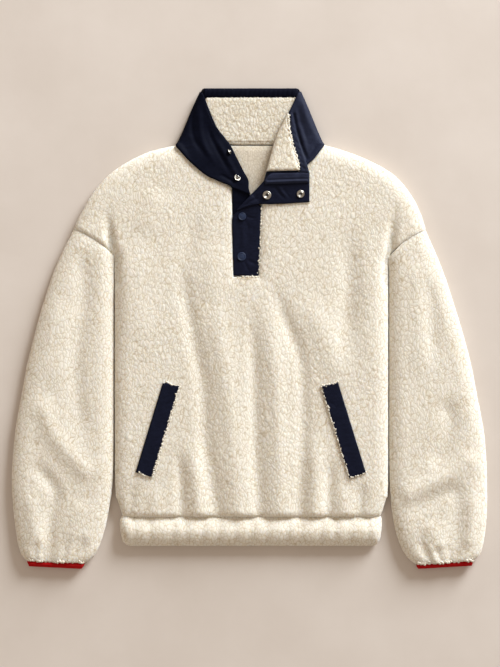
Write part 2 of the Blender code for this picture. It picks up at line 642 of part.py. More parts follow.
def hem_band(name, material):
    def heights(x, y, away, full):
        dents = np.zeros(np.shape(x))
        for place in PUCKERS:
            dents += np.exp(-(((x - place) / PUCKER_WIDTH) ** 2))
        high = SLEEVE_MIDDLE + (full[0] - SLEEVE_MIDDLE) * rounding(away, HEM_ROLL)
        low = SLEEVE_MIDDLE - (SLEEVE_MIDDLE - full[1]) * rounding(away, BACK_ROLL)
        return high - PUCKER_DEPTH * dents * full[2] * rounding(away, HEM_ROLL), low

    outer = []
    inner = []
    for band in HEM_BAND:
        puckered = PUCKER_MIDDLE + (1.0 - PUCKER_MIDDLE) * abs(band.y - HEM_MIDDLE) / HEM_HALF
        row = (band.left, band.y, band.right, band.y)
        sizes = (band.top, band.bottom, puckered)
        ring, width, high = section_ring(row, HEM_COLUMNS, sizes, 0.0, heights)
        outer.append(ring)
        inner.append(hollow_ring(row, HEM_COLUMNS, 0.0, high, width, SIDE_WALL, PILE, HEM_HOLLOW))
    return tube(name, np.array(outer), np.array(inner), material)


def front_panel(name, material):
    low_rows = np.linspace(HEM_SEAM, -250.0, 9)
    body_rows = np.linspace(-250.0, SLOT_BOTTOM, 17)[1:]
    chest_rows = [100.0, 112.0, 118.0, 124.0, 132.0, 141.0, 154.0, 168.0, 184.0, 202.0, 218.0, 232.0]
    neck_rows = [241.0, 250.0, 262.0, 274.0, 286.0, 300.0, NECK_SEAM]
    rows = np.array([*low_rows, *body_rows, *chest_rows, *neck_rows])
    left = edge_at(rows, LEFT_SIDE, LEFT_ARMHOLE, LEFT_SHOULDER)
    right = edge_at(rows, RIGHT_SIDE, RIGHT_ARMHOLE, RIGHT_SHOULDER)
    neck_left = edge_at(rows, NECK_LEFT)
    neck_right = edge_at(rows, NECK_RIGHT)
    side_columns = 16
    slot_columns = 4
    half = spread(2 * side_columns - 1)[:side_columns]
    half = half / half[-1]
    x = np.array(
        [
            [
                *(left[i] + (neck_left[i] - left[i]) * half),
                *np.linspace(neck_left[i], neck_right[i], slot_columns + 1)[1:-1],
                *(right[i] + (neck_right[i] - right[i]) * half[::-1]),
            ]
            for i in range(len(rows))
        ]
    )
    y = np.repeat(rows[:, None], x.shape[1], axis=1)
    low, high = front_heights(x, y)
    keep = np.ones((len(rows) - 1, x.shape[1] - 1), bool)
    opening = [i for i in range(len(rows) - 1) if rows[i] >= SLOT_BOTTOM - 0.01]
    keep[opening[0] :, side_columns - 1 : side_columns - 1 + slot_columns] = False
    return sheet(name, x, y, low, high, material, keep)


def back_panel(name, material):
    rows = np.array(
        [HEM_SEAM, -314, -302, -290, -267, -210, -140, -70, 0, 60, 100, 112, 118, 124, 132, 141, 154, 168]
        + [178, 190, 202, 220, 236, 251, 261, 271, 282, 292, 301, 306, NECK_SEAM],
        float,
    )
    left = edge_at(rows, LEFT_SIDE, LEFT_ARMHOLE, LEFT_SHOULDER)
    right = edge_at(rows, RIGHT_SIDE, RIGHT_ARMHOLE, RIGHT_SHOULDER)
    across = np.array([0.0, 0.008, 0.02, 0.04, 0.08, 0.25, 0.5, 0.75, 0.92, 0.96, 0.98, 0.992, 1.0])
    x = left[:, None] + (right - left)[:, None] * across[None, :]
    y = np.repeat(rows[:, None], x.shape[1], axis=1)
    away = np.minimum(free_distance(x, y), seam_distance(x, y) + 3.0)
    low = BACK_TOP * (1.0 - THIN_EDGE) * (1.0 - rounding(away, BACK_ROLL))
    neck = np.minimum((NECK_SEAM - y) / 6.0, 1.0)
    high = np.full(x.shape, BACK_TOP) - 1.0 * (1.0 - neck)
    return sheet(name, x, y, low, high, material)


def surface_of(*things):
    """A search tree over the outsides of some objects, for resting others on them."""
    points = []
    faces = []
    for thing in things:
        first = len(points)
        points += [tuple(v.co / MM) for v in thing.data.vertices]
        faces += [[first + k for k in polygon.vertices] for polygon in thing.data.polygons]
    return BVHTree.FromPolygons(points, faces)


def top_of(tree, x, y, reach):
    """The highest point of a surface near a place, or None where there is none below."""
    best = None
    for turn in range(9):
        angle = turn * math.pi / 4.0
        out = 0.0 if turn == 8 else reach
        start = Vector((x + out * math.cos(angle), y + out * math.sin(angle), 200.0))
        hit = tree.ray_cast(start, Vector((0.0, 0.0, -1.0)))
        if hit[0] is not None and (best is None or hit[0].z > best):
            best = hit[0].z
    return best


def ruled(name, table, material, wall, count, columns, rest=None, roll=12.0, edge=0.45, reach=5.0, clear=0.4):
    """A cloth piece between its edges a and b. Where it lies on other pieces its underside is raised to clear them."""
    rows = resample(table, count)
    places = spread(columns)
    x = rows[:, 0:1] + (rows[:, 2:3] - rows[:, 0:1]) * places[None, :]
    y = rows[:, 1:2] + (rows[:, 3:4] - rows[:, 1:2]) * places[None, :]
    width = np.hypot(rows[:, 2] - rows[:, 0], rows[:, 3] - rows[:, 1])[:, None]
    low = rows[:, 4:5] + (rows[:, 5:6] - rows[:, 4:5]) * places[None, :]
    low = low - rows[:, 6:7] * (1.0 - rounding(places[None, :] * width, roll))
    if rest is not None:
        for i in range(count):
            for j in range(columns):
                under = top_of(rest, float(x[i, j]), float(y[i, j]), reach)
                if under is not None:
                    low[i, j] = max(low[i, j], under + clear)
    away = np.minimum(places, 1.0 - places)[None, :] * width
    down = np.cumsum(np.hypot(np.diff(x[:, columns // 2]), np.diff(y[:, columns // 2])))
    down = np.concatenate([[0.0], down])
    ends = np.minimum(down, down[-1] - down)[:, None]
    soft = rounding(np.minimum(away, ends), wall)
    high = low + wall * (edge + (1.0 - edge) * soft)
    return sheet(name, x, y, low, high, material)


def turned(name, profile, centre, scale, base, material):
    """A solid of revolution that stands upright on the base height."""
    points = []
    faces = []
    turns = TURNED_SEGMENTS
    bottom = (centre[0], centre[1], base)
    top = (centre[0], centre[1], base + profile[-1][1])
    middle = profile[1:-1]
    for radius, height in middle:
        for k in range(turns):
            angle = 2.0 * math.pi * k / turns
            across = radius * scale
            points.append((centre[0] + across * math.cos(angle), centre[1] + across * math.sin(angle), base + height))
    points += [bottom, top]
    for k in range(turns):
        after = (k + 1) % turns
        faces.append([len(points) - 2, after, k])
        for ring in range(len(middle) - 1):
            a = ring * turns
            faces.append([a + k, a + after, a + turns + after, a + turns + k])
        last = (len(middle) - 1) * turns
        faces.append([last + k, last + after, len(points) - 1])
    return add_object(name, points, faces, material)


def on_top(thing, centre, radius, clear=SEAM_GAP):
    tree = surface_of(thing)
    return max(top_of(tree, centre[0], centre[1], reach) for reach in (0.4 * radius, 0.8 * radius, radius)) + clear


def build():
    clear_scene()
    collection = bpy.data.collections.new(NAME)
    bpy.context.scene.collection.children.link(collection)

    def sherpa(name, colour=CREAM):
        return make_material(name, colour, 0.95)

    def navy(name):
        return make_material(name, NAVY, 0.62)

    back = back_panel("back_panel", sherpa("back_sherpa"))
    front = front_panel("front_panel", sherpa("front_sherpa"))
    sleeve("sleeve_left", LEFT_SLEEVE, LEFT_SLEEVE_FOLDS, sherpa("sleeve_left_sherpa"))
    sleeve("sleeve_right", RIGHT_SLEEVE, RIGHT_SLEEVE_FOLDS, sherpa("sleeve_right_sherpa"))
    cuff("cuff_binding_left", LEFT_CUFF, make_material("cuff_left_red", RED, 0.75))
    cuff("cuff_binding_right", RIGHT_CUFF, make_material("cuff_right_red", RED, 0.75))
    hem_band("hem_band", sherpa("hem_sherpa"))

    ruled("collar_back", COLLAR_BACK, navy("collar_back_navy"), 2.3, 10, 11)
    lining = ruled("collar_back_lining", COLLAR_LINING, sherpa("lining_sherpa"), 7.2, 7, 11, edge=0.6)
    facing = ruled("collar_top_facing", COLLAR_FACING, navy("top_facing_navy"), 7.6, 5, 11, edge=0.3)
    under_leaf = surface_of(front, lining, facing)
    left = ruled("collar_leaf_left", LEAF_LEFT, navy("leaf_left_navy"), 3.4, 19, 8, rest=under_leaf, reach=8.0)
    right = ruled("collar_leaf_right", LEAF_RIGHT, navy("leaf_right_navy"), 3.4, 18, 8, rest=under_leaf, reach=8.0)
    on_leaf = surface_of(right, front)
    ruled("collar_lapel", LAPEL, sherpa("lapel_sherpa"), 7.4, 12, 7, rest=on_leaf, edge=0.5)
    ruled("lapel_facing", LAPEL_FACING, navy("lapel_facing_navy"), 4.6, 12, 4, rest=on_leaf, edge=0.5)

    ruled("placket_underlap", UNDERLAP, navy("underlap_navy"), CLOTH, 13, 5)
    overlap = ruled("placket_overlap", OVERLAP, navy("overlap_navy"), CLOTH + 0.6, 18, 7)
    flap_rest = surface_of(front, right, overlap)
    flap = ruled("placket_flap", FLAP, navy("flap_navy"), CLOTH, 17, 7, rest=flap_rest)
    ruled("flap_band", FLAP_BAND, navy("flap_band_navy"), 1.7, 13, 4, rest=surface_of(flap), reach=2.0)

    panel = surface_of(front)
    for side, table in (("left", WELT_LEFT), ("right", WELT_RIGHT)):
        ruled(f"pocket_welt_{side}", table, navy(f"welt_{side}_navy"), CLOTH, 17, 5, rest=panel, reach=4.0)

    snaps = [
        ("snap_cap_upper", CAP_PROFILE, (-12.0, 190.0), 0.9, overlap, NAVY_SNAP, 0.45, 0.0),
        ("snap_cap_lower", CAP_PROFILE, (-13.0, 122.0), 1.0, overlap, NAVY_SNAP, 0.45, 0.0),
        ("snap_socket_left", SOCKET_PROFILE, (30.0, 226.0), 1.0, flap, SILVER, 0.3, 1.0),
        ("snap_socket_right", SOCKET_PROFILE, (87.0, 228.0), 0.9, flap, SILVER, 0.3, 1.0),
        ("snap_stud_lower", STUD_PROFILE, (-20.0, 256.0), 1.0, left, SILVER, 0.3, 1.0),
        ("snap_stud_upper", STUD_PROFILE, (-34.0, 300.0), 0.9, left, SILVER, 0.3, 1.0),
    ]
    for name, profile, centre, scale, base, colour, roughness, metallic in snaps:
        height = on_top(base, centre, profile[1][0] * scale)
        turned(name, profile, centre, scale, height, make_material(f"{name}_finish", colour, roughness, metallic))


build()
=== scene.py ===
import itertools
import math
from collections import namedtuple

import bpy
import numpy as np
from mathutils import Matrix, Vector
from mathutils.bvhtree import BVHTree
from mathutils.geometry import delaunay_2d_cdt


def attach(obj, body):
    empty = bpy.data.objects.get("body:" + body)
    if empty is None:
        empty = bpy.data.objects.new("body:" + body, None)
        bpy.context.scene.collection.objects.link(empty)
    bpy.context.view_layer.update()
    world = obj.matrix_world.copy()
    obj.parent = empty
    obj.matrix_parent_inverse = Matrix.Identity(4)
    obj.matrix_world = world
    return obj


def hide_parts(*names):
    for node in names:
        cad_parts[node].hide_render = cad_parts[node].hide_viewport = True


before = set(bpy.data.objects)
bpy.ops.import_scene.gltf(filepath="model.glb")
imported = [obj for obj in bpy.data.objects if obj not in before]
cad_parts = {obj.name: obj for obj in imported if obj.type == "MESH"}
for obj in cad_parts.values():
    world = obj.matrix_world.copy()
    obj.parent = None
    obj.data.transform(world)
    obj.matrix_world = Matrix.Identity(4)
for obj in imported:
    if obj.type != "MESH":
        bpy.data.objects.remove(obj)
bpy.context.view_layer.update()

# All sizes below are in millimetres unless a name says otherwise.
MM = 0.001
PX = 1.7  # one pixel of the photograph on the garment
ORIGIN_PX = (249.3, 328.4)  # where the garment's origin lies in the photograph
MIDDLE_PX = (250.0, 333.5)
PHOTO_TALL_PX = 667.0

# The front and the back
PILE = 8.4  # knit and pile together
BACK_TOP = 8.0
SEAM_GAP = 0.3
LIFT = 4.0  # how far the front stands off the back
EDGE_ROLL = 26.0
SEAM_ROLL = 10.0
NECK_ROLL = 24.0
BACK_ROLL = 12.0
# Shares of the wall or of the lift that are left at an edge or a seam
THIN_EDGE = 0.25
SEAM_WALL = 0.7
SEAM_LIFT = 0.35
NECK_LIFT = 0.2
THINNEST = 2.0  # least wall in a crease
HEM_SEAM = -320.4
SLOT_BOTTOM = 87.4
NECK_SEAM = 311.4
NECK_SLOPE = 6.0
NECK_STITCHES = (317.2, 306.4)  # on the lining and on the back's inside
STITCH_GROOVE = 1.3
FOLD_SHARE = 0.75  # the folds are a little softer here than in the solids

# The sleeves, cuffs and hem band, which are flattened tubes
SLEEVE_LONG = 545.0
SLEEVE_STEPS = 23.0  # steps along a sleeve, in which the reach of its seam and of its gathers is counted
SLEEVE_TOP = 20.0
SLEEVE_LOWEST = 3.0
SLEEVE_ROLL = 30.0
SLEEVE_MIDDLE = 8.2
SLEEVE_FOLD_SHARE = 0.6
SEAM_BOW = 5.0
SIDE_WALL = 10.0
HOLLOW_MOST = 3.2
HEM_RINGS = 34
HEM_MIDDLE = -345.0
HEM_HALF = 25.0
HEM_ROLL = 20.0
PUCKER_DEEP = 1.6
PUCKER_WIDE = 7.0
CUFF_RINGS = 14
CUFF_ROLL = 7.0
RIB_HIGH = 0.22
RIB_WIDE = 2.1

# Woven cloth laid on other pieces
CLOTH = 2.4
CLOTH_GAP = 0.4
CLOTH_ROLL = 12.0
CLOTH_REACH = 4.0

FINE = 1.95  # spacing of the points of the pile's mesh
COARSE = 9.0

Fold = namedtuple("Fold", "height width grow fade path")
Leaf = namedtuple("Leaf", "ax ay bx by za zb drop", defaults=(0.0, 0.0, 0.0))
Pile = namedtuple("Pile", "size stretch height seed")
Tube = namedtuple("Tube", "top low wall thick most")  # places across it, then its hollow's sizes
Mesh = namedtuple("Mesh", "points faces")

# The body's outline and seams in plan, x and y, from the hem up.
LEFT_SIDE = [
    (-216, HEM_SEAM), (-217.5, -314), (-221, -302), (-225, -290), (-228.6, -267),
    (-229.4, -100), (-229.4, 60), (-229.8, 118),
]
LEFT_ARMHOLE = [
    (-229.8, 118), (-233, 124), (-240, 132), (-250, 141), (-272, 154),
    (-299.5, 169),
]
LEFT_SHOULDER = [
    (-299.5, 169), (-292, 186), (-283.5, 202), (-273.5, 220), (-262.5, 236),
    (-240, 261), (-210, 282), (-170, 301), (-126, NECK_SEAM),
]
RIGHT_SIDE = [
    (222.5, HEM_SEAM), (225.5, -314), (229.5, -302), (233, -290), (236.4, -267),
    (236.8, -100), (236.8, 60), (236.8, 112),
]
RIGHT_ARMHOLE = [
    (236.8, 112), (239, 124), (246, 132), (257, 141), (278, 154), (300.5, 167),
]
RIGHT_SHOULDER = [
    (300.5, 167), (294.5, 188), (288, 204), (278, 223), (257, 251), (232, 271),
    (190, 292), (150, 306), (130, NECK_SEAM),
]
NECK_LEFT = [
    (-26.8, SLOT_BOTTOM), (-28.4, 150), (-30, 232), (-33, 241), (-48, 250),
    (-71, 262), (-99, 286), (-111, 300), (-120, NECK_SEAM),
]
NECK_RIGHT = [
    (16.8, SLOT_BOTTOM), (19.2, 150), (21, 208), (24, 232), (33, 241), (48, 250),
    (72, 262), (101, 286), (114, 300), (123, NECK_SEAM),
]

# Folds as they fall in the photograph.
FRONT_FOLDS = [
    Fold(-4.6, 13, 0.30, 0, [(-125, 150), (-97, -6), (-80, -95), (-74, -190), (-53, -322)]),
    Fold(4.8, 20, 0.35, 0, [(-74, 90), (-57, 28), (-36, -122), (-17, -322)]),
    Fold(-4.6, 12, 0.35, 0, [(1, 62), (8, -54), (11, -190), (18, -322)]),
    Fold(4.8, 17, 0.35, 0, [(26, 60), (45, -88), (52, -322)]),
    Fold(-4.2, 12, 0.25, 0, [(30, 98), (59, 21), (83, -40), (90, -88), (91, -190), (86, -322)]),
    Fold(3.6, 24, 0.35, 0.3, [(84, 70), (100, 41), (141, -54), (132, -110)]),
    Fold(4.6, 15, 0.45, 0, [(116, -170), (112, -240), (112, -322)]),
    Fold(-4.6, 19, 0.35, 0.35, [(168, 190), (168, 41), (160, -70)]),
    Fold(2.6, 22, 0.35, 0.35, [(206, 175), (206, 40), (200, -120)]),
    Fold(-4.8, 10, 0.45, 0, [(-119, -200), (-117, -250), (-114, -322)]),
    Fold(4.2, 13, 0.45, 0, [(-98, -180), (-92, -250), (-84, -322)]),
    Fold(-4.4, 10, 0.45, 0, [(138, -210), (137, -250), (134, -322)]),
    Fold(-3.4, 10, 0.5, 0, [(-197, -255), (-200, -285), (-204, -322)]),
    Fold(-3.4, 10, 0.5, 0, [(193, -255), (190, -285), (186, -322)]),
    Fold(2.6, 14, 0.5, 0, [(-156, -262), (-158, -290), (-160, -322)]),
    Fold(2.8, 12, 0.5, 0, [(163, -262), (162, -290), (161, -322)]),
    Fold(3, 30, 0.35, 0.4, [(-190, 175), (-196, 60), (-178, -70)]),
    Fold(2.4, 26, 0.3, 0.4, [(-150, 240), (-170, 190), (-190, 150)]),
    Fold(-2.6, 16, 0.4, 0.4, [(-86, 205), (-104, 140), (-118, 90)]),
    Fold(2.8, 22, 0.4, 0.4, [(-48, 150), (-66, 90), (-70, 40)]),
]
SHOULDER_CREASES = [
    Fold(-9, 8, 0.7, 0, [(-242, 216), (-238, 165), (-233, 122), (-231, 80)]),
    Fold(-8, 8, 0.7, 0, [(249, 220), (243, 170), (238, 122), (237, 80)]),
]
LEFT_SLEEVE_FOLDS = [
    Fold(-5, 16, 0.15, 0.2, [(-285, 145), (-281, 48), (-294, -54), (-288, -156), (-271, -205)]),
    Fold(3.4, 22, 0.3, 0.3, [(-315, 60), (-336, -50), (-352, -108)]),
    Fold(5.6, 17, 0.2, 0.15, [(-356, -108), (-335, -176), (-295, -224), (-262, -260)]),
    Fold(-5.6, 12, 0.25, 0, [(-376, -220), (-342, -258), (-329, -285), (-337, -319), (-341, -395)]),
    Fold(3.6, 20, 0.3, 0.3, [(-286, -285), (-290, -326), (-300, -372)]),
    Fold(3.6, 13, 0.3, 0.2, [(-374, -268), (-366, -330), (-358, -380)]),
    Fold(-3.6, 8, 0.4, 0, [(-280, -350), (-284, -374), (-302, -398)]),
    Fold(-2.8, 7, 0.4, 0, [(-362, -350), (-364, -374), (-362, -398)]),
    Fold(-2, 4.5, 0.6, 0, [(-308, -356), (-313, -378), (-320, -398)]),
    Fold(1.8, 5, 0.6, 0, [(-296, -352), (-300, -374), (-308, -398)]),
    Fold(-1.8, 4, 0.6, 0, [(-346, -362), (-350, -380), (-351, -397)]),
]
RIGHT_SLEEVE_FOLDS = [
    Fold(3, 18, 0.2, 0.3, [(282, 128), (290, -20), (292, -110)]),
    Fold(-3.2, 14, 0.3, 0.3, [(303, 95), (308, 28), (316, -70)]),
    Fold(-5, 15, 0.25, 0.2, [(326, -112), (342, -158), (330, -204), (300, -232)]),
    Fold(4.6, 16, 0.15, 0.15, [(252, -290), (300, -268), (345, -247), (388, -208)]),
    Fold(-3.8, 14, 0.2, 0, [(258, -322), (317, -287), (350, -280), (352, -330), (350, -395)]),
    Fold(4, 16, 0.3, 0.2, [(300, -322), (312, -346), (322, -380)]),
    Fold(3.2, 12, 0.3, 0.2, [(382, -270), (378, -330), (370, -380)]),
    Fold(-3.2, 8, 0.4, 0, [(290, -352), (296, -376), (308, -400)]),
    Fold(-2, 4.5, 0.6, 0, [(312, -360), (320, -380), (328, -400)]),
    Fold(1.8, 5, 0.6, 0, [(300, -356), (309, -378), (318, -400)]),
    Fold(-1.8, 4, 0.6, 0, [(336, -362), (340, -380), (342, -398)]),
]

# Rows across the sleeves and cuffs: x and y at the inner edge, x and y at the outer edge.
LEFT_SLEEVE = [
    (-228.3, 121.8, -298.2, 171), (-230.2, 106, -306, 155), (-230.2, 84, -317.5, 133),
    (-230.2, 48, -335, 92), (-230.2, 4, -351.5, 42), (-230.2, -44, -366.5, -12),
    (-230.2, -92, -379.5, -66), (-230.4, -140, -389.5, -120), (-230.6, -188, -398.5, -172),
    (-231, -234, -403.5, -224), (-233, -268, -405, -264),
    (-238, -303, -402.5, -303), (-243, -330, -399.5, -332),
    (-250, -356, -396, -358), (-259, -379, -391.5, -377),
    (-268, -391, -386.5, -387.5), (-279.5, -399.2, -379.5, -395.4),
]
RIGHT_SLEEVE = [
    (234.2, 118.4, 298.6, 171.6), (237.6, 102, 307.5, 151), (237.6, 80, 318.5, 126),
    (237.6, 46, 333.5, 88), (237.6, 4, 348.5, 42), (237.6, -44, 365, -12),
    (237.6, -92, 379, -66), (237.6, -140, 389.5, -122), (237.6, -188, 399.5, -174),
    (238, -234, 404, -226), (239.2, -268, 405, -266), (242, -303, 405, -304),
    (246, -331, 403.5, -334), (253, -358, 400, -360), (262.5, -380, 395.5, -379),
    (272, -393, 389.5, -389), (284, -401.6, 381.5, -395.4),
]
LEFT_CUFF = [
    (-280.6, -396.4, -378.6, -392.8), (-281.2, -402.8, -378.2, -398.6),
    (-283, -406, -377, -401.4), (-285.4, -409.4, -375.4, -405),
]
RIGHT_CUFF = [
    (284.6, -399, 380.8, -392.6), (284.6, -404.2, 380.6, -398.2), (285.6, -406.6, 380.2, -400.4),
    (287.6, -409.4, 379.4, -404),
]
CUFF_TOPS = [11.4, 14.2, 13.8, 10.8]
CUFF_BOTTOMS = [1.6, 1.2, 2, 4.6]
# Rows across the hem band: y, left edge, right edge, top and bottom.
HEM_BAND = [
    (-317.8, -216.4, 222.9, 13.6, 1.8), (-324.5, -220.5, 226, 16.4, 0),
    (-332, -221, 226.2, 19.4, 0), (-344, -219.8, 225.4, 21.8, 0),
    (-356, -217.6, 223.4, 20.2, 0), (-364, -214.5, 220.4, 16.2, 0.6),
    (-370, -207.5, 214, 11.6, 4.2),
]
PUCKERS = [-196, -168, -131, -108, -79, -52, -24, 3, 31, 64, 88, 121, 146, 171, 203]

# The collar, placket and welts, from edge a to edge b.
LINING = np.array(
    [(-106, 313), (108.5, 313), (94, 352), (78, 394.6), (-73.5, 394.6), (-90, 352)]
)
COLLAR_BACK = [
    Leaf(-123, 312.2, 125.5, 312.2),
    Leaf(-118, 325, 121, 325),
    Leaf(-101, 364, 105.5, 364),
    Leaf(-88, 394, 92.5, 394),
    Leaf(-83.5, 402.5, 88, 402.5),
    Leaf(-79.5, 409.2, 83.5, 409.2),
]
COLLAR_FACING = [
    Leaf(-80, 391.6, 84.5, 391.6, 2.7, 2.7),
    Leaf(-80, 402, 84.5, 402, 2.7, 2.7),
    Leaf(-77, 409.4, 81, 409.4, 2.7, 2.7),
]
LEAF_LEFT = [
    Leaf(-84.5, 403.5, -79, 400, 10.2, 10.2, 7.2),
    Leaf(-97.5, 375, -68, 372, 10.2, 10.2, 7.2),
    Leaf(-112, 340, -57, 346, 10.8, 10.2, 7.6),
    Leaf(-121.8, 318, -48.5, 333, 14, 10.3, 6.4),
    Leaf(-125, 310.6, -44, 328, 15, 10.4, 6),
    Leaf(-119, 302.6, -40, 322.6, 16.4, 11, 3),
    Leaf(-104, 286, -31.5, 311, 19.6, 13),
    Leaf(-76, 261.5, -22, 292, 20.2, 14),
    Leaf(-56, 251.5, -10, 268, 20.2, 14.5),
    Leaf(-42, 246, -1.4, 252, 20, 15),
    Leaf(-33, 242, -0.8, 238, 19.6, 15.4),
    Leaf(-29.5, 239, 2.6, 226.6, 19.4, 15.6),
]
LEAF_RIGHT = [
    Leaf(88.5, 404, 83, 400.5, 10.2, 10.2, 7.2),
    Leaf(101.5, 374, 67, 368, 10.2, 10.2, 7.2),
    Leaf(115, 341, 52, 339, 10.8, 10.2, 7.6),
    Leaf(124.2, 319, 44.5, 317, 14, 10.2, 6.4),
    Leaf(127.5, 311.4, 42, 311, 15, 10.2, 6),
    Leaf(121.6, 303.2, 40, 304, 16.2, 10.6, 3),
    Leaf(106, 284, 35, 287, 19, 11),
    Leaf(74, 261, 29, 266, 19.8, 13.5),
    Leaf(42, 245.5, 23, 247, 20.2, 17),
]
LAPEL = [
    Leaf(65.4, 366, 67.6, 364, 13.8, 13.8),
    Leaf(57, 349, 67.6, 346, 13.8, 13.8),
    Leaf(48, 331, 69.8, 330, 13.8, 14),
    Leaf(40, 308, 75, 308, 14.2, 16),
    Leaf(33, 282, 81.8, 283, 15.5, 20),
    Leaf(28.6, 266.6, 84.6, 267.6, 18, 23),
]
LAPEL_FACING = [
    Leaf(68.5, 365, 73, 368, 14, 14),
    Leaf(68.5, 346.4, 77, 347.5, 14, 14),
    Leaf(70.7, 330.4, 80.5, 331, 14.6, 14.6),
    Leaf(75.9, 308.4, 87.5, 309.5, 17, 17.4),
    Leaf(82.7, 283.4, 96, 284, 21, 22.4),
    Leaf(85.6, 264.2, 102, 263.2, 23.6, 23.4),
]
FLAP = [
    Leaf(-21, 201.4, -20.6, 199.6, 19, 18.8),
    Leaf(-12.6, 210.4, -8, 204.8, 19.6, 19.2),
    Leaf(-3, 220.4, 3, 208, 20.2, 20),
    Leaf(4, 228.6, 11, 210, 20.6, 20.4),
    Leaf(14, 238.6, 19, 211, 22, 21),
    Leaf(24.5, 250, 27, 210.8, 23, 21.2),
    Leaf(36, 262.6, 38, 210.6, 23.4, 21.2),
    Leaf(60, 264, 60, 211.4, 23.4, 21),
    Leaf(86, 265.2, 84, 213, 23.2, 20.8),
    Leaf(102, 264.6, 102, 214.4, 23, 20.8),
]
FLAP_BAND = [
    Leaf(26.2, 250.6, 27, 243.8),
    Leaf(36.8, 261.4, 38, 244.6),
    Leaf(60, 262.8, 60, 245.2),
    Leaf(86, 264, 86, 246.2),
    Leaf(101, 263.4, 101, 246.8),
]
UNDERLAP = [
    Leaf(-25.2, 92.6, 12, 90.6, 9.2, 9.2),
    Leaf(-27, 150, 9, 150, 10, 9.6),
    Leaf(-28.2, 198, 6, 198, 14.4, 10.4),
    Leaf(-28.8, 222, 3, 214, 16.6, 11.4),
    Leaf(-29.4, 239.8, 0.6, 228.6, 17.6, 15),
]
OVERLAP = [
    Leaf(-27.4, 90, 16, 88, 15.4, 14.8),
    Leaf(-28, 112, 17, 110, 16.2, 15.4),
    Leaf(-28.7, 150, 18.4, 150, 16.4, 15.6),
    Leaf(-29.2, 180, 19.4, 180, 17.2, 16.6),
    Leaf(-27.4, 191, 20, 196, 17.8, 17),
    Leaf(-20, 199.4, 20.2, 206.8, 18.2, 17.6),
    Leaf(-8.5, 213.6, 12, 213.6, 18.8, 18.2),
    Leaf(1.2, 224.6, 4, 222, 19.6, 18.6),
]
WELT_LEFT = [
    Leaf(-146.5, -91.5, -118.5, -98),
    Leaf(-193, -244, -164.5, -253),
]
WELT_RIGHT = [
    Leaf(121.5, -98, 150.5, -91.5),
    Leaf(170, -254, 198, -245),
]

# Creases pressed into the woven pieces, as they fall in the photograph.
LEFT_CREASES = [
    Fold(-1.65, 4, 0.2, 0.3, [(-92, 392), (-98, 352), (-92, 318), (-70, 288)]),
    Fold(1.8, 5, 0.2, 0.3, [(-84, 380), (-84, 342), (-74, 306), (-52, 272)]),
    Fold(-1.5, 3.6, 0.3, 0.3, [(-74, 352), (-62, 318), (-44, 284), (-30, 256)]),
    Fold(1.35, 4, 0.3, 0.2, [(-60, 330), (-44, 300), (-26, 268), (-16, 244)]),
    Fold(-1.35, 3, 0.3, 0.3, [(-52, 262), (-36, 254), (-20, 244)]),
]
RIGHT_CREASES = [
    Fold(-2.4, 2.4, 0.05, 0.05, [(75, 368), (79, 347), (83, 331), (90, 309), (99, 284)]),
    Fold(1, 4.5, 0.2, 0.3, [(90, 392), (98, 356), (112, 326)]),
    Fold(-1, 3.6, 0.2, 0.3, [(82, 380), (90, 344), (104, 306)]),
    Fold(0.9, 4, 0.3, 0.3, [(86, 350), (92, 320), (98, 292)]),
    Fold(-0.7, 2.8, 0.3, 0.3, [(118, 322), (108, 302), (98, 288)]),
]
STRIP_CREASES = [
    Fold(-0.5, 1.8, 0.4, 0.4, [(x, y), (x + 12, y - 9)])
    for x, y in ((70, 358), (71, 345), (72, 334), (74, 321), (77, 309), (79, 297), (83, 286), (86, 276))
]
OVERLAP_CREASES = [
    Fold(-0.8, 2, 0.2, 0.4, [(-9, 115), (-4, 104), (0, 95)]),
    Fold(-0.8, 2, 0.2, 0.4, [(-6, 118), (5, 112), (16, 107)]),
    Fold(0.6, 3, 0.3, 0.4, [(-4, 126), (8, 132), (17, 142)]),
    Fold(-0.6, 2.4, 0.2, 0.5, [(-7, 184), (-3, 174), (0, 160)]),
    Fold(-0.7, 2, 0.2, 0.4, [(-5, 190), (6, 187), (16, 188)]),
    Fold(0.7, 4, 0.3, 0.4, [(-12, 178), (-10, 150), (-12, 132)]),
]
BAND_CREASES = [
    Fold(1.1, 1.6, 0.05, 0.05, [(27, 247), (60, 248.6), (101, 250)]),
    Fold(-0.8, 1, 0.05, 0.05, [(28, 251.4), (60, 252.8), (101, 254)]),
]
TOP_CREASES = [Fold(-0.7, 1.5, 0.4, 0.4, [(x, 393), (x + 6, 408)]) for x in range(-76, 84, 8)]
FLAP_CREASES = [
    Fold(-0.9, 2.4, 0.2, 0.3, [(41, 243), (50, 230), (62, 218)]),
    Fold(0.8, 2.6, 0.2, 0.3, [(49, 243), (57, 230), (69, 219)]),
    Fold(-0.8, 2, 0.3, 0.3, [(55, 243), (64, 226), (74, 220)]),
    Fold(-0.8, 2.2, 0.3, 0.3, [(-12, 206), (4, 216), (18, 222)]),
    Fold(0.6, 2.6, 0.3, 0.3, [(-6, 214), (8, 224), (22, 234)]),
]
WELT_CREASES = [
    Fold(-0.5, 2.4, 0.4, 0.4, [(side * 128 + 2, y + 7), (side * 150, y - 7)])
    for side in (-1, 1)
    for y in (-128, -160, -186, -214)
]

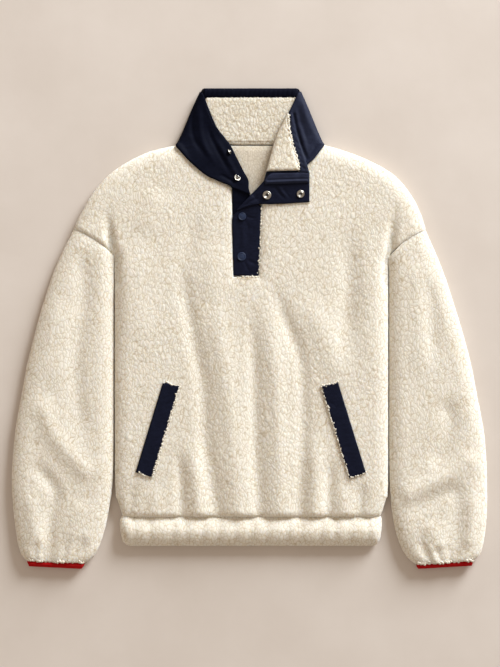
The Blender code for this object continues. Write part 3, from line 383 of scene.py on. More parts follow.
# Half sections of the snaps: radius and height from the foot to the middle of the top.
CAP_PROFILE = [
    (7, 0), (7.2, 0.3), (7.3, 0.7), (7.2, 1.2), (6.9, 1.7), (6.5, 2), (6.1, 2.05), (5.8, 1.9),
    (5.5, 1.55), (5.2, 1.5), (4.6, 1.75), (3.4, 1.95), (1.8, 2.05), (0, 2.1),
]
SOCKET_PROFILE = [
    (7, 0), (7.2, 0.3), (7.3, 0.7), (7.1, 1.2), (6.6, 1.6), (6, 1.75), (5.5, 1.7), (5.1, 1.3),
    (4.8, 0.95), (4.4, 0.95), (4.1, 1.3), (3.7, 1.55), (3.2, 1.5), (2.8, 1.1), (2.6, 0.45), (1.6, 0.3),
    (0, 0.25),
]
STUD_PROFILE = [
    (5.6, 0), (5.8, 0.3), (5.7, 0.7), (5.2, 1), (4.5, 1.05), (4, 0.8), (3.4, 0.65), (2.8, 0.8),
    (2.4, 1.3), (2.4, 1.9), (2.6, 2.4), (2.4, 2.8), (1.9, 3.1), (1.3, 2.9), (0.9, 2.2), (0, 2),
]

BODY_PILE = Pile(7.8, 1.7, 0.7, 11)
SLEEVE_PILE = Pile(7.8, 1.7, 0.7, 23)
COLLAR_PILE = Pile(6.2, 1.3, 0.8, 37)


# Shapes in plan and in height


def rounding(distance, radius):
    """0 at the edge and 1 from the radius inwards, along a quarter circle."""
    share = np.clip(distance / radius, 0.0, 1.0)
    return np.sqrt(1.0 - (1.0 - share) ** 2)


def ease(share):
    share = np.clip(share, 0.0, 1.0)
    return share * share * (3.0 - 2.0 * share)


def at_least(low, share):
    """From low to 1 as the share goes from 0 to 1."""
    return low + (1.0 - low) * share


def resample(rows, count):
    """More rows by a smooth curve through the rows of a table."""
    table = np.array(rows, float)
    last = len(table) - 1
    place = np.linspace(0.0, last, count)
    k = np.minimum(place.astype(int), last - 1)
    t = (place - k)[:, None]
    before = table[np.maximum(k - 1, 0)]
    after = table[np.minimum(k + 2, last)]
    here, there = table[k], table[k + 1]
    return 0.5 * (
        2.0 * here
        + (there - before) * t
        + (2.0 * before - 5.0 * here + 4.0 * there - after) * t**2
        + (3.0 * here - before - 3.0 * there + after) * t**3
    )


def path_distance(x, y, path):
    """The distance to a path in plan, and how far along it the nearest point is, from 0 to 1."""
    points = np.array(path, float)
    steps = np.diff(points, axis=0)
    lengths = np.hypot(steps[:, 0], steps[:, 1])
    best = np.full(np.shape(x), 1e9)
    share = np.zeros(np.shape(x))
    walked = 0.0
    for start, step, length in zip(points[:-1], steps, lengths):
        along = ((x - start[0]) * step[0] + (y - start[1]) * step[1]) / length**2
        along = np.clip(along, 0.0, 1.0)
        away = np.hypot(x - start[0] - along * step[0], y - start[1] - along * step[1])
        nearer = away < best
        best = np.where(nearer, away, best)
        share = np.where(nearer, (walked + along * length) / lengths.sum(), share)
        walked += length
    return best, share


def fold_height(x, y, folds):
    total = np.zeros(np.shape(x))
    for fold in folds:
        away, share = path_distance(x, y, resample(fold.path, 4 * len(fold.path)))
        weight = ease(share / fold.grow)
        if fold.fade > 0.0:
            weight = weight * ease((1.0 - share) / fold.fade)
        total = total + fold.height * weight * np.exp(-((away / fold.width) ** 2))
    return total


def as_path(table):
    return resample(table, 3 * len(table) - 2)


def nearest(x, y, paths):
    """The distance to the nearest of some paths."""
    return np.min([path_distance(x, y, path)[0] for path in paths], axis=0)


def free_distance(x, y):
    free = (LEFT_SIDE, LEFT_SHOULDER, RIGHT_SIDE, RIGHT_SHOULDER)
    return nearest(x, y, [as_path(table) for table in free])


def seam_distance(x, y):
    return nearest(x, y, [[LEFT_SIDE[0], RIGHT_SIDE[0]], as_path(LEFT_ARMHOLE), as_path(RIGHT_ARMHOLE)])


def groove(y, place, depth):
    """The shallow line that stitches across a piece draw in its pile."""
    return depth * np.exp(-(((y - place) / STITCH_GROOVE) ** 2))


def front_heights(x, y):
    free = rounding(free_distance(x, y), EDGE_ROLL)
    seam = rounding(seam_distance(x, y), SEAM_ROLL)
    neck = rounding(nearest(x, y, [as_path(NECK_LEFT), as_path(NECK_RIGHT)]), NECK_ROLL)
    lift = LIFT + FOLD_SHARE * fold_height(x, y, FRONT_FOLDS)
    lift = lift * free * at_least(SEAM_LIFT, seam) * at_least(NECK_LIFT, neck)
    low = BACK_TOP + SEAM_GAP + np.maximum(lift, 0.0)
    wall = PILE * at_least(THIN_EDGE, free) * at_least(SEAM_WALL, seam)
    crease = fold_height(x, y, SHOULDER_CREASES)
    return low, np.maximum(low + THINNEST, low + wall + crease + 0.5 * np.minimum(lift, 0.0))


def back_heights(x, y):
    seam_margin = 3.0
    away = np.minimum(free_distance(x, y), seam_distance(x, y) + seam_margin)
    low = BACK_TOP * (1.0 - THIN_EDGE) * (1.0 - rounding(away, BACK_ROLL))
    neck = np.minimum((NECK_SEAM - y) / NECK_SLOPE, 1.0)
    return low, BACK_TOP - (1.0 - neck) - groove(y, NECK_STITCHES[1], 1.0)


def lining_heights(x, y):
    low, top, roll, edge = 2.7, 9.9, 7.2, 0.6
    away = path_distance(x, y, np.vstack([LINING, LINING[:1]]))[0]
    high = low + (top - low) * at_least(edge, rounding(away, roll))
    return np.full(np.shape(x), low), high - groove(y, NECK_STITCHES[0], 1.2)


# Noise and pile


def cell_random(cell, seed):
    """One number from 0 to 1 for each cell of a lattice, always the same for the same cell and seed."""
    n = cell[:, 0] * 73856093 ^ cell[:, 1] * 19349663 ^ cell[:, 2] * 83492791 ^ (seed * 7919 + 17)
    n = (n ^ (n >> 13)) & 0x7FFFFFFF
    n = (n * 1274126177) & 0x7FFFFFFF
    n = (n ^ (n >> 15)) & 0x7FFFFFFF
    n = (n * 846930886 + 1013) & 0x7FFFFFFF
    return (n >> 7) / float(0x7FFFFFFF >> 7)


def soft_noise(points, size, seed):
    """Smooth noise from -1 to 1 whose lumps are about as wide as the size."""
    place = points / size
    base = np.floor(place).astype(np.int64)
    part = ease(place - base)
    total = np.zeros(len(points))
    for corner in itertools.product((0, 1), repeat=3):
        weight = np.ones(len(points))
        for axis in range(3):
            weight = weight * (part[:, axis] if corner[axis] else 1.0 - part[:, axis])
        total += weight * cell_random(base + np.array(corner), seed)
    return 2.0 * total - 1.0


def tufts(points, pile, angle):
    """The pile's height at each point, from 0 in a crevice to 1 on a tuft, and one tone for each tuft."""
    warp_size, warp_share = 1.1, 0.28
    turning, narrowing, reach, uneven = 1.5, 1.15, 0.95, 0.35
    foot, crevice_foot, crevice_width = 0.15, 0.45, 0.8
    warp = np.column_stack([soft_noise(points, pile.size * warp_size, pile.seed + k) for k in (1, 2, 3)])
    place = (points + warp * pile.size * warp_share) / pile.size
    cell = np.floor(place).astype(np.int64)
    best = np.full(len(points), -9.0)
    second = np.full(len(points), -9.0)
    tone = np.zeros(len(points))
    for step in itertools.product((-1, 0, 1), repeat=3):
        other = cell + np.array(step)
        draws = [cell_random(other, pile.seed + k) for k in (11, 12, 13, 14, 15, 16)]
        away = place - other - np.column_stack(draws[:3])
        turn = angle + turning * (draws[3] - 0.5)
        down = away[:, 0] * np.cos(turn) + away[:, 1] * np.sin(turn)
        aside = away[:, 1] * np.cos(turn) - away[:, 0] * np.sin(turn)
        far = (down / pile.stretch) ** 2 + (aside * narrowing) ** 2 + away[:, 2] ** 2
        height = 1.0 - far / reach + uneven * (draws[4] - 0.5)
        higher = height > best
        second = np.where(higher, best, np.maximum(second, height))
        tone = np.where(higher, draws[5], tone)
        best = np.where(higher, height, best)
    crevice = ease((best - second) / crevice_width)
    return np.clip(at_least(foot, best), 0.0, 1.0) * at_least(crevice_foot, crevice), tone


def flow(points):
    """The way that the tufts lie: down the garment, swaying to one side and the other."""
    wide, narrow, sway = 34.0, 15.0, 0.75
    swayed = soft_noise(points, wide, 5) + 0.6 * soft_noise(points, narrow, 6)
    return math.radians(90.0) + sway * swayed


def by_size(faces):
    """The corners of the faces with three sides and of those with four, as arrays."""
    groups = [np.array([face for face in faces if len(face) == size], int) for size in (3, 4)]
    return [group for group in groups if len(group)]


def normals_of(points, faces):
    """Smooth normals of a mesh."""
    total = np.zeros_like(points)
    for group in by_size(faces):
        size = group.shape[1]
        first = points[group[:, size - 2]] - points[group[:, 0]]
        other = points[group[:, size - 1]] - points[group[:, size - 3]]
        normal = np.cross(first, other)
        for k in range(size):
            np.add.at(total, group[:, k], normal)
    return total / np.maximum(np.linalg.norm(total, axis=1, keepdims=True), 1e-9)


def grow_pile(mesh, pile, full):
    """Moves the points as the pile does, with no pile where full is 0 and all of it where it is 1."""
    patch_size, root, leaning = 28.0, 0.72, 0.25
    points = mesh.points
    lean = flow(points)
    height, tone = tufts(points, pile, lean)
    patch = 0.5 + 0.5 * soft_noise(points, patch_size, pile.seed + 31)
    rise = pile.height * (height * (0.8 + 0.4 * patch) - root)
    moved = points + normals_of(points, mesh.faces) * (rise * full)[:, None]
    moved[:, 0] -= leaning * pile.height * height * full * np.cos(lean)
    moved[:, 1] -= leaning * pile.height * height * full * np.sin(lean)
    return Mesh(moved, mesh.faces), height, tone


# Meshes


def add_object(name, mesh, material, pile=None, tone=None):
    data = bpy.data.meshes.new(name)
    data.from_pydata((mesh.points * MM).tolist(), [], mesh.faces)
    data.polygons.foreach_set("use_smooth", [True] * len(data.polygons))
    for label, values in (("pile", pile), ("tone", tone)):
        if values is not None:
            layer = data.attributes.new(label, "FLOAT", "POINT")
            layer.data.foreach_set("value", np.asarray(values, np.float32))
    data.materials.append(material)
    data.update()
    thing = bpy.data.objects.new(name, data)
    bpy.context.scene.collection.objects.link(thing)
    return thing


def within(loop, x, y):
    """Which points lie inside a closed polygon."""
    odd = np.zeros(len(x), bool)
    for start, end in zip(loop, np.roll(loop, -1, axis=0)):
        if start[1] != end[1]:
            crosses = (start[1] > y) != (end[1] > y)
            slope = (end[0] - start[0]) / (end[1] - start[1])
            odd ^= crosses & (x < start[0] + (y - start[1]) * slope)
    return odd


def triangulated(loop, inside):
    """Triangles that fill a loop, with further points inside it."""
    count = len(loop)
    points = np.vstack([loop, inside]).astype(np.float32).astype(float)
    corners = [Vector(point) for point in points.tolist()]
    rim = [(k, (k + 1) % count) for k in range(count)]
    found = delaunay_2d_cdt(corners, rim, [], 0, 1e-5, True)
    back = np.array([sources[0] for sources in found[3]])
    faces = back[np.array(found[2], int)]
    middle = points[faces].mean(axis=1)
    return faces[within(points[:count], middle[:, 0], middle[:, 1])].tolist()


def inside_points(loop, spacing):
    """A staggered grid inside a loop, clear of its edge."""
    row_step, margin, most_near = 0.866 * spacing, 0.6 * spacing, 400
    low, high = np.min(loop, axis=0), np.max(loop, axis=0)
    rows = np.arange(low[1] + 0.5 * spacing, high[1], row_step)
    columns = np.arange(low[0], high[0], spacing)
    x = columns[None, :] + 0.5 * spacing * (np.arange(len(rows))[:, None] % 2)
    y = np.repeat(rows[:, None], len(columns), axis=1)
    x, y = x.ravel(), y.ravel()
    held = within(loop, x, y)
    x, y = x[held], y[held]
    near = loop[:: max(1, len(loop) // most_near)]
    free = path_distance(x, y, np.vstack([near, near[:1]]))[0] > margin
    return np.column_stack([x[free], y[free]])


def even_loop(corners, spacing):
    """Points an even step apart round a closed polygon, with its corners kept."""
    corners = np.asarray(corners, float)
    result = []
    for start, end in zip(corners, np.roll(corners, -1, axis=0)):
        length = float(np.hypot(*(end - start)))
        count = max(1, int(round(length / spacing)))
        for k in range(count):
            result.append(start + (end - start) * k / count)
    return np.array(result)


def panel(loop, spacing, under_spacing, heights):
    """A closed shell of cloth over an outline, fine on top, and 1 for each point on top."""
    border = even_loop(loop, spacing)
    upper = inside_points(border, spacing)
    under = inside_points(border, under_spacing)
    first, count = len(border), len(border) + len(upper)
    plan_top = np.vstack([border, upper])
    plan_low = np.vstack([border, under])
    top = heights(plan_top[:, 0], plan_top[:, 1])[1]
    low = heights(plan_low[:, 0], plan_low[:, 1])[0]
    points = np.vstack([np.column_stack([plan_top, top]), np.column_stack([plan_low, low])])
    faces = upward(points, triangulated(border, upper))
    below = [[corner + count for corner in face] for face in triangulated(border, under)]
    faces += [face[::-1] for face in upward(points, below)]
    turn = 1 if loop_area(border) > 0 else -1
    for k in range(first):
        a, b = (k, (k + 1) % first) if turn > 0 else ((k + 1) % first, k)
        faces.append([a, a + count, b + count, b])
    return Mesh(points, faces), first_full(points, count)


def first_full(points, count):
    """1 for the first points, where pile grows, and 0 for the others."""
    full = np.zeros(len(points))
    full[:count] = 1.0
    return full


def loop_area(loop):
    x, y = loop[:, 0], loop[:, 1]
    return 0.5 * float(np.sum(x * np.roll(y, -1) - y * np.roll(x, -1)))


def upward(points, faces):
    corners = np.array(faces, int)
    a, b, c = (points[corners[:, k]][:, :2] for k in range(3))
    turn = (b[:, 0] - a[:, 0]) * (c[:, 1] - a[:, 1]) - (b[:, 1] - a[:, 1]) * (c[:, 0] - a[:, 0])
    corners[turn < 0] = corners[turn < 0][:, ::-1]
    return corners.tolist()


def grid_sheet(x, y, low, high):
    """A closed shell from a grid of points in plan with two heights at each."""
    rows, columns = x.shape
    count = rows * columns
    number = np.arange(count).reshape(rows, columns)
    a, b = number[:-1, :-1].ravel(), number[:-1, 1:].ravel()
    c, d = number[1:, 1:].ravel(), number[1:, :-1].ravel()
    faces = np.column_stack([a, b, c, d])
    rim = [*number[0, :], *number[1:, -1], *number[-1, :-1][::-1], *number[1:-1, 0][::-1]]
    walls = [[int(v) for v in (p, p + count, q + count, q)] for p, q in zip(rim, rim[1:] + rim[:1])]
    plan = np.tile(np.column_stack([x.ravel(), y.ravel()]), (2, 1))
    points = np.column_stack([plan, np.concatenate([high.ravel(), low.ravel()])])
    return Mesh(points, out_facing(points, faces.tolist() + (faces[:, ::-1] + count).tolist() + walls))


def out_facing(points, faces):
    """The faces as they are, or all turned over where they look inwards."""
    total = 0.0
    for group in by_size(faces):
        for k in range(1, group.shape[1] - 1):
            cross = np.cross(points[group[:, k]], points[group[:, k + 1]])
            total += float(np.sum(points[group[:, 0]] * cross))
    return faces if total > 0.0 else [face[::-1] for face in faces]


def tube_mesh(outer, inner):
    """A closed shell between outer rings and fewer inner rings, open at both ends."""
    rows, columns = outer.shape[:2]
    fewer = inner.shape[0]
    count = rows * columns
    points = np.vstack([outer.reshape(-1, 3), inner.reshape(-1, 3)])
    faces = []
    for j in range(columns):
        after = (j + 1) % columns
        for i in range(rows - 1):
            a, b = i * columns + j, i * columns + after
            faces.append([a, b, b + columns, a + columns])
        for i in range(fewer - 1):
            a, b = count + i * columns + j, count + i * columns + after
            faces.append([a + columns, b + columns, b, a])
        last = (rows - 1) * columns
        end = count + (fewer - 1) * columns
        faces.append([j, count + j, count + after, after])
        faces.append([last + after, end + after, end + j, last + j])
    return Mesh(points, out_facing(points, faces))


def spread(count, bunch=0.45):
    turn = np.linspace(0.0, 1.0, count)
    return (1.0 - bunch) * turn + bunch * (0.5 - 0.5 * np.cos(math.pi * turn))


def across(row, bow, places):
    """Points in plan from a tube's one edge to the other, bowed upwards."""
    start, end = np.array(row[:2]), np.array(row[2:])
    plan = start[None, :] + (end - start)[None, :] * places[:, None]
    plan[:, 1] += bow * 4.0 * places * (1.0 - places)
    return plan


def section(number, row, bow, tube, heights):
    """One ring round the outside of a tube and one round its hollow."""
    width = float(np.hypot(row[2] - row[0], row[3] - row[1]))
    below = tube.low[::-1][1:-1]
    outer = []
    for which, places in enumerate((tube.top, below)):
        plan = across(row, bow, places)
        away = np.minimum(places, 1.0 - places) * width
        outer.append(np.column_stack([plan, heights(number, plan[:, 0], plan[:, 1], away)[which]]))
    inset = tube.wall / width
    moved, moved_below = (inset + (1.0 - 2.0 * inset) * places for places in (tube.top, below))
    roof = np.interp(moved, tube.top, outer[0][:, 2]) - tube.thick
    roof = np.clip(roof, SLEEVE_MIDDLE + 0.4, SLEEVE_MIDDLE + tube.most)
    roof[0] = roof[-1] = SLEEVE_MIDDLE
    ground = np.full(len(below), SLEEVE_MIDDLE - 0.2)
    inner = [np.column_stack([across(row, bow, moved), roof])]
    inner.append(np.column_stack([across(row, bow, moved_below), ground]))
    return np.vstack(outer), np.vstack(inner)


def tube_piece(rows, bows, tube, heights, hollow_rows):
    """A flattened, hollow tube with a ring at each row, and 1 for each point on its outside."""
    rings = [section(number, row, bow, tube, heights) for number, (row, bow) in enumerate(zip(rows, bows))]
    outer = np.array([ring[0] for ring in rings])
    inner = np.array([rings[number][1] for number in hollow_rows])
    mesh = tube_mesh(outer, inner)
    return mesh, first_full(mesh.points, outer.shape[0] * outer.shape[1])


def sleeve_piece(rows, folds):
    count = int(SLEEVE_LONG / FINE)
    steps = np.arange(count) * (SLEEVE_STEPS / (count - 1))
    seam_reach, gather_reach, seam_share, gather_share = 2.0, 2.5, 0.62, 0.6

    def heights(number, x, y, away):
        seam = rounding(min(steps[number], seam_reach) + 0.25, seam_reach)
        gathered = rounding(SLEEVE_STEPS - steps[number] + 0.5, gather_reach)
        full = (SLEEVE_TOP - SLEEVE_MIDDLE) * at_least(seam_share, seam) * at_least(gather_share, gathered)
        folded = full + SLEEVE_FOLD_SHARE * fold_height(x, y, folds)
        high = SLEEVE_MIDDLE + np.maximum(folded, SLEEVE_LOWEST) * rounding(away, SLEEVE_ROLL)
        return high, SLEEVE_MIDDLE * (1.0 - rounding(away, BACK_ROLL))

    bows = SEAM_BOW * ease(1.0 - steps / 4.0)
    tube = Tube(spread(76), spread(40), wall=SIDE_WALL, thick=PILE, most=HOLLOW_MOST)
    return tube_piece(resample(rows, count), bows, tube, heights, [*range(0, count, count // 9), count - 1])


def hem_piece():
    table = resample(HEM_BAND, HEM_RINGS)

    def heights(number, x, y, away):
        band_y, _, _, top, bottom = table[number]
        puckered = at_least(0.5, abs(band_y - HEM_MIDDLE) / HEM_HALF)
        dents = sum(np.exp(-(((x - place) / PUCKER_WIDE) ** 2)) for place in PUCKERS)
        full = top - SLEEVE_MIDDLE - PUCKER_DEEP * dents * puckered
        high = SLEEVE_MIDDLE + full * rounding(away, HEM_ROLL)
        return high, SLEEVE_MIDDLE - (SLEEVE_MIDDLE - max(bottom, 0.0)) * rounding(away, BACK_ROLL)

    tube = Tube(spread(224, 0.1), spread(110, 0.1), wall=SIDE_WALL, thick=PILE, most=1.6)
    return tube_piece(table[:, [1, 0, 2, 0]], np.zeros(HEM_RINGS), tube, heights, [0, 16, HEM_RINGS - 1])


def cuff_piece(rows):
    """The binding's knitted ribs stand out round it."""
    levels = resample(list(zip(CUFF_TOPS, CUFF_BOTTOMS)), CUFF_RINGS)

    def heights(number, x, y, away):
        top, bottom = levels[number]
        rib = RIB_HIGH * np.sin(x * 2.0 * math.pi / RIB_WIDE)
        rolled = rounding(away, CUFF_ROLL)
        high = SLEEVE_MIDDLE + (top - SLEEVE_MIDDLE + rib) * rolled
        return high, SLEEVE_MIDDLE - (SLEEVE_MIDDLE - bottom) * rolled

    tube = Tube(spread(131, 0.15), spread(90, 0.15), wall=4.0, thick=1.6, most=1.4)
    table = resample(rows, CUFF_RINGS)
    return tube_piece(table, np.zeros(CUFF_RINGS), tube, heights, [0, 7, CUFF_RINGS - 1])


def surface_of(*names):
    """A search tree over CAD nodes, for laying finer pieces on them."""
    points = []
    faces = []
    for name in names:
        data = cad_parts[name].data
        first = len(points)
        points += [tuple(v.co / MM) for v in data.vertices]
        faces += [[first + k for k in polygon.vertices] for polygon in data.polygons]
    return BVHTree.FromPolygons(points, faces)


def rests(tree, x, y, reach):
    """The highest point of a surface within reach of a place, or -1 where there is none."""
    above, ways = 200.0, 8
    best = -1.0
    for turn in range(ways + 1):
        angle = turn * 2.0 * math.pi / ways
        out = 0.0 if turn == ways else reach
        start = Vector((x + out * math.cos(angle), y + out * math.sin(angle), above))
        hit = tree.ray_cast(start, Vector((0.0, 0.0, -1.0)))
        if hit[0] is not None:
            best = max(best, hit[0].z)
    return best


def smoothed(values, times):
    for _ in range(times):
        padded = np.pad(values, 1, mode="edge")
        across_rows = padded[:-2, 1:-1] + padded[2:, 1:-1]
        values = 0.2 * (across_rows + padded[1:-1, :-2] + padded[1:-1, 2:] + values)
    return values


def ruled_cloth(table, wall, count, columns, rest=(), edge=0.45, creases=(), wrinkle=0.0, seed=1):
    """A cloth piece between its edges a and b, laid on what is below it, with its creases pressed in."""
    fade_width, wide, narrow, squeeze = 4.0, 17.0, 7.0, 0.45
    rows = resample(table, count)
    places = spread(columns, 0.3)[None, :]
    edges = [(rows[:, k : k + 1], rows[:, j : j + 1]) for k, j in ((0, 2), (1, 3), (4, 5))]
    x, y, low = (a + (b - a) * places for a, b in edges)
    width = np.hypot(rows[:, 2] - rows[:, 0], rows[:, 3] - rows[:, 1])[:, None]
    low = low - rows[:, 6:7] * (1.0 - rounding(places * width, CLOTH_ROLL))
    if rest:
        tree = surface_of(*rest)
        for i, j in np.ndindex(low.shape):
            low[i, j] = max(low[i, j], rests(tree, x[i, j], y[i, j], CLOTH_REACH) + CLOTH_GAP)
        low = smoothed(low, 6)
    away = np.minimum(places, 1.0 - places) * width
    down = np.cumsum(np.hypot(np.diff(x[:, columns // 2]), np.diff(y[:, columns // 2])))
    down = np.concatenate([[0.0], down])
    inside = np.minimum(away, np.minimum(down, down[-1] - down)[:, None])
    high = low + wall * at_least(edge, rounding(inside, wall))
    bend = fold_height(x, y, creases)
    if wrinkle > 0.0:
        spots = np.column_stack([x.ravel(), y.ravel(), np.full(x.size, 3.0 * seed)])
        rough = soft_noise(spots * np.array([1.0, squeeze, 1.0]), wide, seed)
        rough = rough + 0.5 * soft_noise(spots, narrow, seed + 1)
        bend = bend + wrinkle * rough.reshape(x.shape)
    return grid_sheet(x, y, low, high + bend * ease(inside / fade_width))


# Small parts


def along(path, spacing):
    """Points an even step apart along a path, and the way it runs at each."""
    points = np.array(path, float)
    steps = np.hypot(*np.diff(points, axis=0).T)
    walked = np.concatenate([[0.0], np.cumsum(steps)])
    places = np.arange(0.5 * spacing, walked[-1], spacing)
    centres = np.column_stack([np.interp(places, walked, points[:, k]) for k in (0, 1)])
    k = np.clip(np.searchsorted(walked, places) - 1, 0, len(steps) - 1)
    ways = np.diff(points, axis=0)[k] / steps[k][:, None]
    return centres, ways


def joined(parts):
    points = []
    faces = []
    for part in parts:
        faces += [[corner + len(points) for corner in face] for face in part.faces]
        points += part.points.tolist()
    return Mesh(np.array(points), faces)


def around(angle):
    return np.array([math.cos(angle), math.sin(angle)])


def ring_faces(rings, sides):
    """The faces between rings of points that follow one another."""
    faces = []
    for i in range(rings - 1):
        for k in range(sides):
            a, b = sides * i + k, sides * i + (k + 1) % sides
            faces.append([a, b, b + sides, a + sides])
    return faces


def lump(centre, radii, turn, rng):
    """One curl of pile, a little uneven."""
    rings, sides = 4, 7
    points = [(0.0, 0.0, 1.0)]
    for i in range(1, rings):
        lean = math.pi * i / rings
        for j in range(sides):
            angle = 2.0 * math.pi * j / sides
            points.append((*(math.sin(lean) * around(angle)), math.cos(lean)))
    points.append((0.0, 0.0, -1.0))
    points = np.array(points) * radii * rng.uniform(0.85, 1.15, (len(points), 1))
    turned_x = points[:, 0] * math.cos(turn) - points[:, 1] * math.sin(turn)
    turned_y = points[:, 0] * math.sin(turn) + points[:, 1] * math.cos(turn)
    points = np.column_stack([turned_x, turned_y, points[:, 2]]) + centre
    faces = []
    last = len(points) - 1
    for j in range(sides):
        after = (j + 1) % sides
        faces.append([0, 1 + j, 1 + after])
        for i in range(rings - 2):
            a, b = 1 + i * sides + j, 1 + i * sides + after
            faces.append([a, a + sides, b + sides, b])
        faces.append([last, last - sides + after, last - sides + j])
    return Mesh(points, faces)


def tuft_row(name, path, under, spacing, size, scatter, lift, seed, rows=1):
    """Curls of pile that hang over an edge, at uneven distances from it."""
    reach, jitter, middle_tone, sunk = 0.8, 0.4, 0.5, 0.35
    tree = surface_of(*under)
    rng = np.random.default_rng(seed)
    parts = []
    for _ in range(rows):
        for centre, way in zip(*along(path, spacing)):
            out = rng.normal(0.0, scatter)
            x = centre[0] - way[1] * out + way[0] * rng.uniform(-jitter, jitter) * spacing
            y = centre[1] + way[0] * out + way[1] * rng.uniform(-jitter, jitter) * spacing
            radius = size * rng.uniform(0.7, 1.25)
            base = rests(tree, x, y, reach)
            if base <= 0.0:
                continue
            radii = np.array([radius * rng.uniform(1.0, 1.35), radius * 0.9, radius * 0.75])
            middle = np.array([x, y, base + sunk * radius + lift])
            parts.append(lump(middle, radii, rng.uniform(0.0, math.pi), rng))
    mesh = joined(parts)
    count = len(mesh.points)
    # The curls take the darker tuft copy of the fleece and a middle pile value, below the tips: painted
    # shade on curls that stand up into the light.
    thing = add_object(name, mesh, TUFT, np.full(count, middle_tone), rng.uniform(0.3, 1.0, count))
    place(thing, "sherpa_pile")


def stitch_row(name, paths, under):
    """Lines of thread, one short raised piece for each stitch."""
    length, gap, width, sides, reach = 2.0, 0.9, 0.5, 5, 0.3
    rings = ((-0.5, 0.25), (-0.28, 1.0), (0.28, 1.0), (0.5, 0.25))  # place along it and share of its width
    ends = [list(range(sides))[::-1], list(range(len(rings) * sides))[-sides:]]
    faces = ring_faces(len(rings), sides) + ends
    tree = surface_of(*under)
    parts = []
    for path in paths:
        for centre, way in zip(*along(path, length + gap)):
            side = np.array([-way[1], way[0]])
            if min(rests(tree, *(centre + way * half * length), reach) for half in (-0.5, 0.5)) <= 0.0:
                continue
            points = []
            for share, thick in rings:
                middle = centre + way * share * length
                z = rests(tree, *middle, reach) + 0.12 * thick
                for k in range(sides):
                    angle = 2.0 * math.pi * k / sides
                    plan = middle + side * 0.5 * width * thick * math.cos(angle)
                    points.append((*plan, z + 0.35 * width * thick * math.sin(angle)))
            parts.append(Mesh(np.array(points), faces))
    place(add_object(name, joined(parts), THREAD), "navy_woven")


def turned(name, profile, centre, scale, tilt, material, painted_shade_radius):
    """A round metal part from its profile, tilted with the cloth that it is fixed to."""
    sides = 56
    angles = [2 * math.pi * k / sides for k in range(sides)]
    points = []
    for r, h in profile[:-1]:
        points += [(*(r * scale * around(angle)), h * scale) for angle in angles]
    points.append((0.0, 0.0, profile[-1][1] * scale))
    faces = ring_faces(len(profile) - 1, sides)
    top = (len(profile) - 2) * sides
    faces += [[top + k, top + (k + 1) % sides, len(points) - 1] for k in range(sides)]
    faces.append(list(range(sides))[::-1])
    spin = Vector((0.0, 0.0, 1.0)).rotation_difference(Vector((*tilt, 1.0)).normalized())
    points = np.array([tuple(spin @ Vector(point)) for point in points]) + np.array(centre)
    thing = add_object(name, Mesh(points, out_facing(points, faces)), material)
    # Faces within the given radius of the middle take a near-black metal: painted shade in the hollow
    # middle of the sockets and studs.
    thing.data.materials.append(SNAP_PAINTED_SHADE)
    painted_shade_faces = {len(points) - 1}
    for i, (r, _) in enumerate(profile[:-1]):
        if r <= painted_shade_radius:
            painted_shade_faces.update(range(i * sides, (i + 1) * sides))
    for polygon in thing.data.polygons:
        polygon.material_index = int(painted_shade_faces.issuperset(polygon.vertices))
    return thing


# Materials


def set_inputs(made, settings):
    for key, value in settings.items():
        made.inputs[key.replace("_", " ")].default_value = value


def new_material(name, roughness, **settings):
    material = bpy.data.materials.new(name)
    material.use_nodes = True
    tree = material.node_tree
    shader = tree.nodes["Principled BSDF"]
    set_inputs(shader, {"Roughness": roughness, **settings})
    return material, tree, shader


def node(tree, kind, links=(), **settings):
    """A new node with its settings, and with its inputs linked where links say so."""
    made = tree.nodes.new(kind)
    for key in [key for key in settings if hasattr(made, key)]:
        setattr(made, key, settings.pop(key))
    set_inputs(made, settings)
    for socket, source in links:
        tree.links.new(source, made.inputs[socket])
    return made


def object_place(tree):
    return node(tree, "ShaderNodeTexCoord").outputs["Object"]


def scaled(tree, place, scale):
    return node(tree, "ShaderNodeMapping", [("Vector", place)], Scale=scale).outputs["Vector"]


def ramp(tree, source, stops):
    made = node(tree, "ShaderNodeValToRGB", [("Fac", source)])
    elements = made.color_ramp.elements
    while len(elements) < len(stops):
        elements.new(0.5)
    for element, (place, colour) in zip(elements, stops):
        element.position = place
        element.color = (*colour, 1.0)
    return made.outputs["Color"]


def noise(tree, scale, detail=3.0, roughness=0.55, stretch=None):
    place = object_place(tree)
    if stretch is not None:
        place = scaled(tree, place, stretch)
    settings = {"Scale": scale, "Detail": detail, "Roughness": roughness}
    return node(tree, "ShaderNodeTexNoise", [("Vector", place)], **settings).outputs["Fac"]


def wave(tree, place, direction, scale, distortion, detail_scale):
    """Parallel bands, as threads and ribs are."""
    made = node(tree, "ShaderNodeTexWave", [("Vector", place)], bands_direction=direction, Scale=scale)
    set_inputs(made, {"Distortion": distortion, "Detail_Scale": detail_scale})
    return made.outputs["Fac"]


def ranged(tree, source, **settings):
    return node(tree, "ShaderNodeMapRange", [("Value", source)], **settings).outputs["Result"]


def multiplied(tree, a, b):
    made = node(tree, "ShaderNodeMix", data_type="RGBA", blend_type="MULTIPLY")
    made.inputs[0].default_value = 1.0
    tree.links.new(a, made.inputs[6])
    tree.links.new(b, made.inputs[7])
    return made.outputs[2]


def bump(tree, height, strength, distance, below=None):
    links = [("Height", height)]
    if below is not None:
        links.append(("Normal", below))
    return node(tree, "ShaderNodeBump", links, Strength=strength, Distance=distance).outputs["Normal"]


def math_node(tree, operation, a, b):
    made = tree.nodes.new("ShaderNodeMath")
    made.operation = operation
    for socket, value in zip(made.inputs, (a, b)):
        if isinstance(value, float):
            socket.default_value = value
        else:
            tree.links.new(value, socket)
    return made.outputs[0]


def weighted(tree, *parts):
    """The sum of some values, each times its weight."""
    total = None
    for value, weight in parts:
        share = math_node(tree, "MULTIPLY", value, weight)
        total = share if total is None else math_node(tree, "ADD", total, share)
    return total


